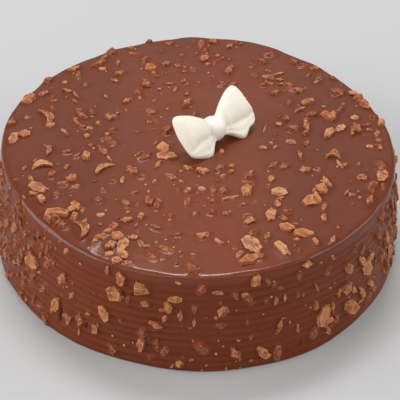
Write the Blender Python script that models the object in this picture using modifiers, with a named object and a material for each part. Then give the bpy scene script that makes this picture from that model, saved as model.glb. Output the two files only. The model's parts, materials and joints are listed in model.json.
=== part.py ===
"""A round chocolate cake: ribbed glaze full of chopped nuts, with a moulded white bow on top.

Metres, +Z up. The origin is the centre of the cake's flat underside.
The cake is one uncut solid, and the bow is a second solid that stands on the glaze.
"""

import math
import random
from collections import namedtuple

import bmesh
import bpy
from mathutils import Matrix, Vector

MM = 0.001
GAP = 0.3 * MM

# Cake body
CAKE_HEIGHT = 55.6 * MM
RIM_RADIUS = 98.0 * MM
FOOT_RADIUS = 104.3 * MM
RIM_ROUND = 3.0 * MM
FOOT_ROUND = 0.8 * MM
RIB_COUNT = 13
RIB_DEPTH = 0.5 * MM
TURN_STEPS = 54
ARC_STEPS = 3
TOP_RINGS = (0.30, 0.62, 0.86)

# Unevenness of the glaze
RIM_SWAY = 2.2 * MM
RIM_SWAY_ANGLE = math.radians(172)
FULLEST_ANGLE = math.radians(140)
FOOT_SWAY = 0.35 * MM
SWELL = 0.35 * MM
CALM_REACH = 36 * MM
CALM_FADE = 30 * MM
SLUMP = 1.6 * MM
SLUMP_ANGLE = math.radians(212)
SLUMP_REACH = 16 * MM

# Bow, in its own frame: s along it, b up its leaning front, n out of its front
BOW_TURN = math.radians(44.8)
BOW_LEAN = math.radians(47.7)
BOW_CENTRE = Vector((8.45, 2.41, 8.8)) * MM
KNOT_HALF = Vector((5.4, 6.5, 7.4)) * MM
KNOT_BACK = 2.8 * MM
# How far a wing stands to the back, to the front and behind its edge, in millimetres
WING_THICK = 5.0
WING_FRONT = 2.6
WING_EDGE = 1.1
CREASE_DEPTH = 1.3
# Outline of one wing in millimetres, from the knot outwards
WING_TOP = (
    (0, 5.3), (3.6, 5.9), (7, 9), (11.5, 12.3), (16.4, 14.4), (20, 14.6), (22.6, 12.6), (24.3, 8), (24.7, 3),
)
WING_LOW = (
    (0, -5.2), (4.2, -5.8), (7, -7.8), (9.2, -9.8), (11.7, -11.9), (13.2, -11.6),
    (15.7, -10), (18.2, -8.2), (20.6, -7.9), (22.8, -6.2), (24.1, -3.6), (24.7, -1),
)
WING_CREASE = ((0, -1.5), (7, -2.6), (15, -2.9), (19, -3.4), (24.7, -2))
WING_STATIONS = (0, 4, 7.5, 11, 13.5, 16.5, 19.5, 22.4, 24.7)

# Chopped nuts
SEED = 7
HIDDEN_CHIPS = 36
HIDDEN_FROM = math.radians(-13)
HIDDEN_TO = math.radians(194)
CHIP_LARGEST = 9.5 * MM
CHIP_SMALLEST = 5.0 * MM
CHIP_SUNK = 0.42
CHIP_TILT = 10
CHIP_SPACING = 0.62
SIDE_CLEAR = 4.0 * MM
CLUSTER_SHARE = 0.55
SCATTERED_KINDS = ("chunk", "wedge", "chunk", "shard", "slab", "chunk")

# A chip's unit shape: a block with this many sides, its top this much narrower, and a few cuts
BLOCK_REACH = 0.6
CUT_REACH = (0.32, 0.48)
Recipe = namedtuple("Recipe", "sides top cuts flatness shapes")
RECIPES = {
    "chunk": Recipe(5, 0.74, 2, 0.72, 4),
    "slab": Recipe(6, 0.88, 1, 0.5, 4),
    "wedge": Recipe(4, 0.56, 2, 0.66, 4),
    "shard": Recipe(4, 0.6, 1, 0.85, 4),
    "curl": Recipe(4, 1.0, 0, 0.85, 1),
}

# A chip: where it lies, its length and width in millimetres, and its turn in degrees.
# On top its place is millimetres along +X and +Y. On the side it is a bearing in degrees and a height.
Row = namedtuple("Row", "across up length width turn kind")
Chip = namedtuple("Chip", "place outward length width height turn tilt kind")

TOP_ROWS = (
    Row(-65.5, -58.5, 11.5, 6.0, -12, "slab"), Row(-57.5, -52.0, 7.5, 4.5, -50, "chunk"),
    Row(-54.5, -70.0, 12.0, 3.8, -68, "curl"), Row(-38.5, -68.5, 7.0, 4.5, 50, "chunk"),
    Row(-43.0, -74.5, 9.5, 4.5, 15, "wedge"), Row(-33.5, -79.5, 9.5, 4.5, 80, "slab"),
    Row(-77.0, -40.0, 9.0, 5.5, -25, "slab"), Row(-61.5, -32.0, 6.0, 4.5, 10, "chunk"),
    Row(-59.0, -38.5, 8.5, 3.6, 42, "wedge"), Row(-74.0, -47.5, 6.5, 4.5, -60, "chunk"),
    Row(-76.5, -25.0, 10.5, 3.2, 20, "curl"), Row(-74.5, -12.0, 9.0, 3.4, 78, "shard"),
    Row(-56.0, -14.0, 6.8, 4.8, -60, "chunk"), Row(-45.0, -24.0, 13.0, 3.0, 40, "curl"),
    Row(-16.5, -12.0, 9.5, 5.5, 10, "slab"), Row(-23.0, -48.0, 7.0, 4.8, -75, "chunk"),
    Row(-33.0, -62.5, 6.8, 3.4, 10, "shard"), Row(-26.5, -59.5, 5.0, 4.0, 60, "chunk"),
    Row(2.5, -23.0, 7.0, 5.0, 5, "wedge"), Row(-32.5, -24.5, 7.5, 5.0, -50, "chunk"),
    Row(10.8, -7.2, 4.6, 3.8, -60, "chunk"), Row(12.0, -38.0, 5.2, 4.6, 80, "wedge"),
    Row(16.5, -42.5, 10.0, 3.2, 28, "wedge"), Row(23.5, -37.0, 9.0, 5.5, 80, "chunk"),
    Row(36.5, -16.0, 9.0, 3.6, 48, "wedge"), Row(51.5, -19.0, 6.4, 5.0, 0, "wedge"),
    Row(67.0, -8.0, 7.0, 4.0, -10, "curl"), Row(62.5, -27.5, 10.0, 4.2, -68, "wedge"),
    Row(60.0, -34.0, 7.5, 5.0, -60, "chunk"), Row(54.5, -43.0, 10.0, 6.0, 38, "slab"),
    Row(39.0, -37.0, 7.5, 5.0, 5, "slab"), Row(35.0, -54.5, 8.5, 5.5, 80, "chunk"),
    Row(42.0, -63.5, 8.0, 5.0, -10, "chunk"), Row(49.5, -67.0, 8.5, 5.0, 5, "slab"),
    Row(25.5, -76.0, 11.0, 7.2, -48, "slab"), Row(24.5, -85.8, 9.5, 5.2, 30, "slab"),
    Row(39.0, -78.0, 8.8, 5.2, -58, "slab"), Row(24.0, -59.5, 6.5, 4.5, 35, "chunk"),
    Row(3.5, -70.0, 6.5, 4.5, 30, "chunk"), Row(82.5, -41.0, 9.5, 3.8, 66, "shard"),
    Row(-90.0, 32.0, 9.0, 6.0, 60, "chunk"), Row(-80.5, 16.0, 13.0, 3.8, -65, "curl"),
    Row(-56.0, 67.0, 10.5, 3.4, 36, "shard"), Row(-44.5, 58.5, 7.0, 4.8, 25, "wedge"),
    Row(-28.0, 65.0, 7.0, 5.2, -25, "chunk"), Row(-30.0, 49.0, 5.5, 4.8, 0, "chunk"),
    Row(-45.5, 19.0, 6.5, 4.5, 20, "chunk"), Row(-61.0, 19.5, 8.5, 3.4, -40, "shard"),
    Row(-7.5, 33.0, 9.5, 4.0, 62, "shard"), Row(14.5, 66.0, 9.0, 4.4, 65, "wedge"),
    Row(36.0, 60.0, 7.5, 5.0, 10, "chunk"), Row(39.0, 46.0, 6.2, 4.4, 30, "wedge"),
    Row(56.0, 38.0, 7.5, 4.4, 25, "slab"), Row(65.5, 27.5, 9.5, 5.5, -52, "chunk"),
    Row(54.5, 17.5, 9.5, 3.8, -75, "shard"), Row(66.0, 12.5, 8.5, 5.0, 58, "chunk"),
    Row(80.0, 17.0, 7.5, 5.0, -60, "chunk"), Row(50.5, -7.0, 10.5, 2.8, -86, "shard"),
    Row(-96.0, 12.5, 7.0, 4.5, 80, "chunk"), Row(-69.5, 61.5, 9.0, 4.4, 32, "wedge"),
    Row(-82.0, 50.0, 6.0, 4.0, 50, "chunk"), Row(93.0, 22.5, 6.5, 4.0, 78, "chunk"),
    Row(-93.5, -2.0, 8.0, 4.4, 85, "slab"), Row(84.5, 41.0, 8.0, 4.6, -50, "chunk"),
    Row(-81, -33, 6, 3, -55, "wedge"), Row(-20, -19, 7, 2.5, 60, "shard"),
    Row(-5, -21.5, 5, 4.5, 0, "wedge"), Row(-5, -38.5, 4.5, 4.5, 20, "chunk"),
    Row(-25.5, -78, 5, 3, -80, "slab"), Row(16, -18, 4, 3.5, 0, "chunk"),
    Row(10.5, -74, 6, 3, -40, "chunk"), Row(35.5, -26.5, 5, 3, 75, "slab"),
    Row(69.5, -13, 8, 2.5, -70, "shard"), Row(80, -23.5, 5, 4, 20, "slab"),
    Row(38, -45.5, 5, 3, -70, "slab"), Row(40.5, -57, 5, 3, -30, "chunk"),
    Row(60, -55, 5.5, 3, 85, "slab"), Row(55, -71.5, 6, 3, -65, "chunk"), Row(63, -71, 7, 3, 65, "shard"),
    Row(29, -83.5, 4, 4, 0, "chunk"), Row(84, -33.5, 5, 3.5, 0, "wedge"), Row(90, -22, 9, 5, 80, "slab"),
    Row(-88.5, 16, 4.5, 3.5, 0, "wedge"), Row(-88.5, 2, 6, 5, 0, "slab"),
    Row(-76, 9.5, 5, 3.5, 30, "chunk"), Row(-83, 38, 6, 4, 40, "chunk"), Row(-70, 41, 6, 3, 0, "wedge"),
    Row(-66, 38, 7, 2.5, -60, "shard"), Row(-61.5, 47, 4, 3.5, 0, "wedge"),
    Row(-53.5, 73, 7, 3, 45, "shard"), Row(-46, 68.5, 6, 2.5, -85, "shard"),
    Row(-20, 69.5, 5, 4, 0, "chunk"), Row(-13.5, 68.5, 6, 3, -25, "wedge"),
    Row(-39, 33.5, 6, 4, 40, "wedge"), Row(-57, 2.5, 4, 4, 0, "wedge"), Row(-19, 90, 6, 2.5, 5, "shard"),
    Row(-40, 84, 5, 3, 15, "wedge"), Row(5, 94, 5, 4, 0, "chunk"), Row(15, 90, 6, 3.5, 60, "wedge"),
    Row(1, 77, 6, 4, 60, "slab"), Row(36, 55.5, 5, 3, -30, "slab"), Row(42, 64.5, 8, 2, 25, "shard"),
    Row(52, 48.5, 5, 4.5, 0, "chunk"), Row(61, 70, 5, 3.5, 0, "chunk"), Row(63, 59.5, 6, 5, 40, "wedge"),
    Row(80, 48, 6, 4, 0, "chunk"), Row(52.5, 32, 8, 2.5, 45, "shard"), Row(72, 17, 6, 4, 40, "slab"),
    Row(44, 23.5, 5, 3.5, -60, "chunk"), Row(40, 18, 4.5, 3.5, 0, "chunk"),
    Row(54, 12, 5, 3.5, 75, "wedge"), Row(80, 26.5, 4.5, 3.5, 0, "slab"),
    Row(90.5, 12.5, 6, 3, 80, "chunk"), Row(33, 13, 10, 1.6, 75, "shard"), Row(46, 3.5, 5, 3, 0, "slab"),
    Row(-47, -48, 4, 4, 0, "slab"), Row(-67.5, -44.5, 5, 3, 80, "chunk"), Row(-64, -65, 5, 4, 0, "wedge"),
    Row(-5, -47, 6, 3, 85, "slab"), Row(24, -26, 6, 5, 0, "chunk"), Row(85, -29, 6, 4, 30, "chunk"),
    Row(90, -14, 9, 6, -70, "wedge"), Row(-26, 25, 5, 4.5, 0, "slab"), Row(-23, 18, 7, 2, -65, "wedge"),
    Row(27, 72, 5, 3, 20, "wedge"), Row(28, 62, 4, 3.5, 0, "slab"), Row(37, 82.5, 8, 4, 10, "chunk"),
    Row(32.5, 53, 5, 3, 0, "chunk"), Row(55, 73, 8, 4, 20, "wedge"), Row(72, 48, 7, 6, 0, "slab"),
    Row(48, 15, 7, 5, 20, "chunk"), Row(6.5, -53, 4, 3.5, 0, "chunk"),
)
SIDE_ROWS = (
    Row(232.4, 34.0, 7.5, 4.6, 84, "chunk"), Row(235.8, 27.5, 6.2, 3.4, 62, "wedge"),
    Row(230.4, 16.5, 9.0, 4.6, 76, "slab"), Row(235.0, 14.5, 6.5, 4.8, 10, "chunk"),
    Row(239.0, 15.5, 8.5, 3.8, 82, "wedge"), Row(243.6, 14.5, 8.0, 4.4, 84, "chunk"),
    Row(246.0, 26.0, 8.5, 5.0, -64, "slab"), Row(219.8, 30.5, 9.0, 7.0, 10, "slab"),
    Row(250.4, 49.0, 7.5, 5.0, -70, "chunk"), Row(248.6, 39.8, 9.2, 7.8, 12, "chunk"),
    Row(256.2, 45.6, 8.0, 6.6, -20, "chunk"), Row(257.2, 38.0, 5.2, 4.0, -20, "wedge"),
    Row(263.4, 38.2, 6.8, 4.6, -76, "chunk"), Row(266.6, 34.0, 6.4, 3.2, 88, "shard"),
    Row(260.6, 26.6, 7.4, 4.4, -14, "wedge"), Row(256.6, 13.4, 9.8, 4.4, 86, "chunk"),
    Row(277.6, 36.4, 7.0, 5.6, 70, "chunk"), Row(286.0, 51.0, 6.8, 5.0, 84, "chunk"),
    Row(281.0, 10.6, 6.4, 4.2, -64, "wedge"), Row(288.8, 8.8, 8.0, 4.2, -58, "slab"),
    Row(301.5, 52.4, 6.6, 4.6, -14, "wedge"), Row(293.2, 23.2, 7.0, 3.2, 72, "shard"),
    Row(306.8, 18.6, 11.5, 6.6, 82, "slab"), Row(308.2, 8.6, 6.4, 4.4, -78, "wedge"),
    Row(316.0, 38.2, 6.6, 5.0, -70, "chunk"), Row(314.6, 27.0, 7.6, 6.0, 20, "chunk"),
    Row(324.4, 29.0, 9.0, 6.4, -50, "slab"), Row(316.8, 14.2, 11.5, 8.0, -32, "chunk"),
    Row(321.4, 18.6, 8.6, 4.2, -58, "shard"), Row(326.6, 17.0, 6.6, 4.4, -64, "chunk"),
    Row(246.5, 50.5, 5, 3, -80, "wedge"), Row(265.3, 43, 6, 3.5, 0, "slab"),
    Row(262.8, 31, 4.5, 3, 75, "chunk"), Row(267, 5, 4, 4, 0, "slab"), Row(292, 38, 5, 3, 90, "wedge"),
    Row(322, 36, 8, 4, -60, "chunk"), Row(337, 31, 10, 4, 70, "shard"), Row(341, 18, 10, 5, -70, "slab"),
    Row(331, 41, 6, 4, 20, "chunk"), Row(334, 24, 7, 4, 60, "chunk"), Row(329, 10, 6, 4, -20, "wedge"),
    Row(345, 38, 7, 4, 60, "slab"), Row(348, 26, 8, 4, -80, "chunk"), Row(338, 8, 6, 4, 10, "chunk"),
    Row(212, 44, 8, 3, -80, "shard"), Row(208, 36, 7, 4, 80, "slab"), Row(205, 24, 8, 4, 60, "chunk"),
    Row(213, 22, 7, 4, -70, "chunk"), Row(216, 12, 7, 4, 70, "wedge"), Row(203, 12, 8, 4, 85, "slab"),
    Row(199, 34, 8, 3.5, 80, "shard"), Row(196, 20, 7, 4, -80, "chunk"), Row(224, 8, 6, 3.5, 20, "wedge"),
    Row(220.5, 22, 8, 5, 60, "wedge"), Row(226, 45, 9, 4, 85, "wedge"), Row(277, 28, 5, 3, 0, "chunk"),
    Row(210, 30, 8, 5, 80, "wedge"), Row(201, 45, 9, 4, 80, "wedge"), Row(218, 38, 6, 4, 70, "chunk"),
    Row(207, 16, 7, 4, 60, "chunk"), Row(319, 46, 6, 4, 60, "wedge"), Row(343, 46, 8, 4, 80, "slab"),
    Row(333, 50, 6, 4, 20, "chunk"), Row(196, 9, 7, 4, 80, "chunk"),
)


def empty_scene():
    """Removes what the start-up scene holds."""
    for item in list(bpy.data.objects):
        bpy.data.objects.remove(item, do_unlink=True)


def new_collection(name):
    group = bpy.data.collections.new(name)
    bpy.context.scene.collection.children.link(group)
    return group


def new_material(name, colour, roughness):
    material = bpy.data.materials.new(name)
    material.use_nodes = True
    shader = material.node_tree.nodes["Principled BSDF"]
    shader.inputs["Base Color"].default_value = (*colour, 1.0)
    shader.inputs["Roughness"].default_value = roughness
    shader.inputs["Metallic"].default_value = 0.0
    return material


def new_object(name, mesh, group):
    item = bpy.data.objects.new(name, mesh)
    group.objects.link(item)
    return item


def freeze(item):
    """Gives the object the mesh that its modifiers make, and drops the modifiers."""
    bpy.context.view_layer.update()
    graph = bpy.context.evaluated_depsgraph_get()
    mesh = bpy.data.meshes.new_from_object(item.evaluated_get(graph))
    item.modifiers.clear()
    item.data = mesh


def between(points, at):
    """Reads a line through the points, which run in order of their first value."""
    for (left, low), (right, high) in zip(points, points[1:]):
        if at <= right:
            return low + (high - low) * (at - left) / (right - left)
    return points[-1][1]


# The cake's surface


def side_radius(height):
    """Radius of the side before its ribs: it flares in a straight line from rim to foot."""
    return FOOT_RADIUS + (RIM_RADIUS - FOOT_RADIUS) * height / CAKE_HEIGHT


def sway(angle, height):
    """How far the side stands out or in: in four waves at the rim, fading to small ones at the foot."""
    fullness = 0.55 + 0.45 * math.cos(angle - FULLEST_ANGLE)
    rim = RIM_SWAY * fullness * math.cos(4 * (angle - RIM_SWAY_ANGLE))
    foot = FOOT_SWAY * (math.sin(5 * angle + 0.6) + 0.7 * math.sin(11 * angle))
    return foot + (rim - foot) * height / CAKE_HEIGHT


def top_offset(x, y):
    """How far the glaze on top lies above or below the cake's height."""
    radius = math.hypot(x, y)
    calm = min(1.0, max(0.0, radius - CALM_REACH) / CALM_FADE)
    wave = math.sin(x / (17 * MM) + 1.0) * math.cos(y / (21 * MM)) + 0.5 * math.sin((x - y) / (13 * MM))
    near_slump = max(0.0, math.cos(math.atan2(y, x) - SLUMP_ANGLE)) ** 2
    outer = max(0.0, (radius - RIM_RADIUS + SLUMP_REACH) / SLUMP_REACH)
    return SWELL * calm * wave - SLUMP * near_slump * outer * outer


def cake_profile():
    """The half outline from the top's centre over the rim and down the ribs to the underside."""
    points = [(0.0, CAKE_HEIGHT)]
    points += [(RIM_RADIUS * share, CAKE_HEIGHT) for share in TOP_RINGS]
    for step in range(ARC_STEPS + 1):
        angle = math.pi / 2 * (1 - step / ARC_STEPS)
        radius = RIM_RADIUS - RIM_ROUND * (1 - math.cos(angle))
        points.append((radius, CAKE_HEIGHT - RIM_ROUND * (1 - math.sin(angle))))
    rib_pitch = (CAKE_HEIGHT - RIM_ROUND - FOOT_ROUND) / RIB_COUNT
    for half in range(1, 2 * RIB_COUNT):
        height = CAKE_HEIGHT - RIM_ROUND - half * rib_pitch / 2
        points.append((side_radius(height) + RIB_DEPTH * (-1) ** half / 2, height))
    points.append((FOOT_RADIUS, FOOT_ROUND))
    points.append((FOOT_RADIUS - FOOT_ROUND, 0.0))
    points.append((0.0, 0.0))
    return points


def build_core(group):
    """Turns the profile, then lets the glaze sway and slump."""
    profile = bpy.data.meshes.new("cake")
    points = cake_profile()
    profile.from_pydata([(r, 0.0, z) for r, z in points], [(i, i + 1) for i in range(len(points) - 1)], [])
    core = new_object("cake", profile, group)
    screw = core.modifiers.new("turn", "SCREW")
    screw.steps = TURN_STEPS
    screw.render_steps = TURN_STEPS
    screw.use_merge_vertices = True
    screw.merge_threshold = 0.01 * MM
    freeze(core)
    top_band = 0.1 * CAKE_HEIGHT
    for vertex in core.data.vertices:
        x, y, z = vertex.co
        grown = 1 + sway(math.atan2(y, x), z) / RIM_RADIUS
        top_share = max(0.0, (z - CAKE_HEIGHT + top_band) / top_band)
        vertex.co = (x * grown, y * grown, z + top_offset(x, y) * top_share)
    return core


# Chopped nuts


def chopped_block(rng, recipe):
    """A unit block, narrower on top, with slices cut off it at random."""
    shape = bmesh.new()
    bmesh.ops.create_cone(
        shape, cap_ends=True, segments=recipe.sides, depth=1.0,
        radius1=BLOCK_REACH, radius2=BLOCK_REACH * recipe.top,
    )
    for _ in range(recipe.cuts):
        normal = Vector((rng.uniform(-1, 1), rng.uniform(-1, 1), rng.uniform(0.2, 0.9))).normalized()
        cut = bmesh.ops.bisect_plane(
            shape, geom=shape.verts[:] + shape.edges[:] + shape.faces[:], dist=1e-5,
            plane_co=normal * rng.uniform(*CUT_REACH), plane_no=normal, clear_outer=True,
        )
        rim = [part for part in cut["geom_cut"] if isinstance(part, bmesh.types.BMEdge)]
        if rim:
            bmesh.ops.edgeloop_fill(shape, edges=rim)
    bmesh.ops.recalc_face_normals(shape, faces=shape.faces[:])
    return shape


def curled_sliver():
    """A bent sliver with pointed ends, a third of a ring."""
    shape = bmesh.new()
    bmesh.ops.create_cube(shape, size=1.0)
    long_edges = [edge for edge in shape.edges if abs(edge.verts[0].co.x - edge.verts[1].co.x) > 0.5]
    bmesh.ops.subdivide_edges(shape, edges=long_edges, cuts=3)
    for vertex in shape.verts:
        along = vertex.co.x * 2
        thin = 1 - 0.6 * along * along
        vertex.co.y = vertex.co.y * thin + 0.9 * (1 - along * along)
        vertex.co.z *= 1 - 0.5 * along * along
    return shape


def chip_meshes():
    """The chips' unit shapes, a few of each kind. A chip's size stretches its shape."""
    rng = random.Random(SEED)
    meshes = {}
    for kind, recipe in RECIPES.items():
        meshes[kind] = []
        for _ in range(recipe.shapes):
            shape = curled_sliver() if kind == "curl" else chopped_block(rng, recipe)
            mesh = bpy.data.meshes.new(kind)
            shape.to_mesh(mesh)
            shape.free()
            meshes[kind].append(mesh)
    return meshes


def on_top(x, y):
    """A place on the glaze on top, and the way out of it."""
    return Vector((x, y, CAKE_HEIGHT + top_offset(x, y))), Vector((0, 0, 1))


def on_side(bearing, height):
    """A place on the side, and the way out of it."""
    radius = side_radius(height) + sway(bearing, height)
    level = Vector((math.cos(bearing), math.sin(bearing), 0))
    flare = math.atan2(FOOT_RADIUS - RIM_RADIUS, CAKE_HEIGHT)
    return level * radius + Vector((0, 0, height)), level * math.cos(flare) + Vector((0, 0, math.sin(flare)))


def new_chip(rng, surface, kind, length, width, turn):
    """A chip on its surface, which is a place and the way out of it, tipped a little at random."""
    place, outward = surface
    tilt = (rng.uniform(-CHIP_TILT, CHIP_TILT), rng.uniform(-CHIP_TILT, CHIP_TILT))
    return Chip(place, outward, length, width, width * RECIPES[kind].flatness, turn, tilt, kind)


def placed_chips(rng):
    """The chips of the lists, each where it lies."""
    surfaces = [(row, on_top(row.across * MM, row.up * MM)) for row in TOP_ROWS]
    surfaces += [(row, on_side(math.radians(row.across), row.up * MM)) for row in SIDE_ROWS]
    return [new_chip(rng, at, row.kind, row.length * MM, row.width * MM, row.turn) for row, at in surfaces]


def crowding(angle, other):
    """How many chips gather here, from 0 to 1: they lie in drifts, with bare glaze between."""
    return 0.5 + 0.25 * math.sin(5 * angle + 3 * other) + 0.25 * math.sin(9 * angle - 5 * other + 1)


def scattered_chips(rng, chips):
    """Fills the far half of the side between the chips that lie there, the largest first."""
    placed = list(chips)
    made = []
    while len(made) < HIDDEN_CHIPS:
        share = math.sqrt(len(made) / HIDDEN_CHIPS)
        length = CHIP_LARGEST + (CHIP_SMALLEST - CHIP_LARGEST) * share
        angle = rng.uniform(HIDDEN_FROM, HIDDEN_TO)
        other = rng.random()
        if rng.random() > 1 - CLUSTER_SHARE + CLUSTER_SHARE * crowding(angle, other):
            continue
        surface = on_side(angle, SIDE_CLEAR + other * (CAKE_HEIGHT - 2 * SIDE_CLEAR))
        place = surface[0]
        if any((place - chip.place).length < CHIP_SPACING * (length + chip.length) for chip in placed):
            continue
        kind = SCATTERED_KINDS[len(made) % len(SCATTERED_KINDS)]
        width = length * rng.uniform(0.5, 0.8) * (0.6 if kind == "shard" else 1.0)
        chip = new_chip(rng, surface, kind, length, width, rng.uniform(-90, 90))
        placed.append(chip)
        made.append(chip)
    return made


def chip_matrix(chip):
    """Where a chip's unit shape goes: laid on the surface, turned, tipped, and sunk by its share."""
    level = Vector((0, 0, 1)).cross(chip.outward)
    level = level.normalized() if level.length > 0.1 else Vector((1, 0, 0))
    upward = chip.outward.cross(level)
    frame = Matrix((level, upward, chip.outward)).transposed().to_4x4()
    turn = Matrix.Rotation(math.radians(chip.turn), 4, "Z")
    tip_x, tip_y = (math.radians(angle) for angle in chip.tilt)
    tip = Matrix.Rotation(tip_x, 4, "X") @ Matrix.Rotation(tip_y, 4, "Y")
    centre = chip.place + chip.outward * chip.height * (0.5 - CHIP_SUNK)
    size = Matrix.Diagonal((chip.length, chip.width, chip.height, 1))
    return Matrix.Translation(centre) @ frame @ turn @ tip @ size


def fuse_chips(core, chips, meshes):
    """Joins every chip to the core with one union."""
    cutters = new_collection("nuts")
    for index, chip in enumerate(chips):
        shapes = meshes[chip.kind]
        mesh = shapes[index % len(shapes)].copy()
        mesh.transform(chip_matrix(chip))
        nut = new_object(f"nut_{index}", mesh, cutters)
        nut.hide_render = True
        nut.display_type = "WIRE"
    union = core.modifiers.new("nuts", "BOOLEAN")
    union.operation = "UNION"
    union.operand_type = "COLLECTION"
    union.collection = cutters
    union.solver = "EXACT"
    freeze(core)
    for nut in list(cutters.objects):
        bpy.data.objects.remove(nut, do_unlink=True)
    bpy.data.collections.remove(cutters)


def build_cake(group):
    core = build_core(group)
    rng = random.Random(SEED)
    chips = placed_chips(rng)
    chips += scattered_chips(rng, chips)
    fuse_chips(core, chips, chip_meshes())
    core.data.set_sharp_from_angle(angle=math.radians(30))
    core.data.materials.clear()
    core.data.materials.append(new_material("milk_chocolate_glaze", (0.21, 0.075, 0.042), 0.4))
    return core


# Bow


def wing_ring(s):
    """The wing's section this far from the knot, in millimetres: its front from the top down, then its back."""
    top = between(WING_TOP, s)
    low = between(WING_LOW, s)
    crease = between(WING_CREASE, s)
    closing = min(1.0, 0.35 + (WING_STATIONS[-1] - s) / 5)
    puff = WING_FRONT * closing * min(1.0, 0.35 + s / 12)
    ring = []
    for share, rise in ((0.0, -0.4), (0.05, 0.45), (0.3, 0.95), (0.62, 1.0), (0.88, 0.7)):
        ring.append((top + (crease - top) * share, puff * rise))
    ring.append((crease, puff * 0.7 - CREASE_DEPTH * closing))
    for share, rise in ((0.4, 0.55), (0.88, 0.3), (1.0, -0.4)):
        ring.append((crease + (low - crease) * share, puff * rise))
    back = -WING_EDGE - (WING_THICK - WING_EDGE) * closing
    for share, rise in ((0.97, 0.6), (0.7, 1.0), (0.3, 1.0), (0.03, 0.6)):
        ring.append((top + (low - top) * share, back * rise))
    return ring


def build_wings(group):
    """Both wings as one loft from tip to tip, smoothed by subdivision."""
    shape = bmesh.new()
    stations = [-s for s in reversed(WING_STATIONS[1:])] + list(WING_STATIONS)
    rings = []
    for s in stations:
        ring = [shape.verts.new(Vector((s, b, n)) * MM) for b, n in wing_ring(abs(s))]
        rings.append(ring)
    count = len(rings[0])
    for near, far in zip(rings, rings[1:]):
        for i in range(count):
            shape.faces.new((near[i], far[i], far[(i + 1) % count], near[(i + 1) % count]))
    shape.faces.new(rings[0])
    shape.faces.new(list(reversed(rings[-1])))
    bmesh.ops.recalc_face_normals(shape, faces=shape.faces[:])
    mesh = bpy.data.meshes.new("bow")
    shape.to_mesh(mesh)
    shape.free()
    wings = new_object("bow", mesh, group)
    smooth = wings.modifiers.new("soft", "SUBSURF")
    smooth.levels = 1
    smooth.render_levels = 1
    freeze(wings)
    return wings


def bow_matrix():
    lean = Matrix.Rotation(BOW_TURN, 4, "Z") @ Matrix.Rotation(BOW_LEAN, 4, "X")
    centre = BOW_CENTRE + Vector((0, 0, CAKE_HEIGHT))
    return Matrix.Translation(centre) @ lean


def build_bow(group):
    """The wings and the knot in one piece, with feet cut level just over the glaze."""
    bow = build_wings(group)
    cutters = new_collection("bow_cutters")
    bpy.ops.mesh.primitive_uv_sphere_add(segments=16, ring_count=8, radius=1.0)
    knot = bpy.context.active_object
    for owner in list(knot.users_collection):
        owner.objects.unlink(knot)
    cutters.objects.link(knot)
    knot.data.transform(Matrix.Translation((0, 0, -KNOT_BACK)) @ Matrix.Diagonal((*KNOT_HALF, 1)))
    union = bow.modifiers.new("knot", "BOOLEAN")
    union.operation = "UNION"
    union.object = knot
    union.solver = "EXACT"
    freeze(bow)
    bpy.data.objects.remove(knot, do_unlink=True)
    bpy.data.collections.remove(cutters)

    shape = bmesh.new()
    shape.from_mesh(bow.data)
    bmesh.ops.transform(shape, matrix=bow_matrix(), verts=shape.verts[:])
    foot = bmesh.ops.bisect_plane(
        shape, geom=shape.verts[:] + shape.edges[:] + shape.faces[:], dist=1e-6,
        plane_co=(0, 0, CAKE_HEIGHT + GAP), plane_no=(0, 0, -1), clear_outer=True,
    )
    rim = [part for part in foot["geom_cut"] if isinstance(part, bmesh.types.BMEdge)]
    bmesh.ops.holes_fill(shape, edges=rim, sides=0)
    bmesh.ops.triangulate(shape, faces=shape.faces[:])
    shape.to_mesh(bow.data)
    shape.free()
    bow.data.materials.clear()
    bow.data.materials.append(new_material("white_chocolate", (0.83, 0.76, 0.62), 0.5))
    bow.data.shade_smooth()
    bow.data.set_sharp_from_angle(angle=math.radians(50))
    return bow


def main():
    empty_scene()
    group = new_collection("chocolate_cake")
    build_cake(group)
    build_bow(group)


main()
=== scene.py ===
"""Looks of a whole round chocolate cake: ribbed glaze full of chopped nuts, and a moulded white bow.

Metres, +Z up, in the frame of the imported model. The glaze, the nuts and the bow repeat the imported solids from
the same sizes and the same seed, and add what those leave out: the fine ribs and swells of the glaze, its
film on the nuts, the nuts' grain, the smaller bits and crumbs, and the bow's soft edges.
"""

import json
import logging
import math
import random
from collections.abc import Callable, Iterator, Sequence
from contextlib import contextmanager
from dataclasses import dataclass, field, replace
from enum import Enum

import bmesh
import bpy
import numpy as np
from mathutils import Matrix, Vector
from mathutils.kdtree import KDTree

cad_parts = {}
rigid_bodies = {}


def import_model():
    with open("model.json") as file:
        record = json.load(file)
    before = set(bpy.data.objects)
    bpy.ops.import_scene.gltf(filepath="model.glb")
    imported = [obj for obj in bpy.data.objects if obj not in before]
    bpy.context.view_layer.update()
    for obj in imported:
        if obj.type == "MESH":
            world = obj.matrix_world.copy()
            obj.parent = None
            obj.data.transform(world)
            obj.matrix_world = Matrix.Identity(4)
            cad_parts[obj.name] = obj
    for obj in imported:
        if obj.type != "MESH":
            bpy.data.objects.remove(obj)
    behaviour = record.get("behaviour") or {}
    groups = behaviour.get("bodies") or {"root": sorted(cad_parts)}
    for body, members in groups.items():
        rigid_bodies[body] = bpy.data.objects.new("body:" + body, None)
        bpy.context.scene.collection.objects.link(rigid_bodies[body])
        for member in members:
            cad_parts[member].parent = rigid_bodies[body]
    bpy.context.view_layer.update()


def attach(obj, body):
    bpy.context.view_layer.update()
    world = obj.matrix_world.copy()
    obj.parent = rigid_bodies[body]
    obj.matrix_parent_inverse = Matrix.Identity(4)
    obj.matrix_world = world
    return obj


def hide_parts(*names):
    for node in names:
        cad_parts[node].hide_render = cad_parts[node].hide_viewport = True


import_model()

MM = 0.001
SEED = 7
NUT_SUNK = 0.42
BOW_PLACE = (8.45, 2.41)

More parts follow.
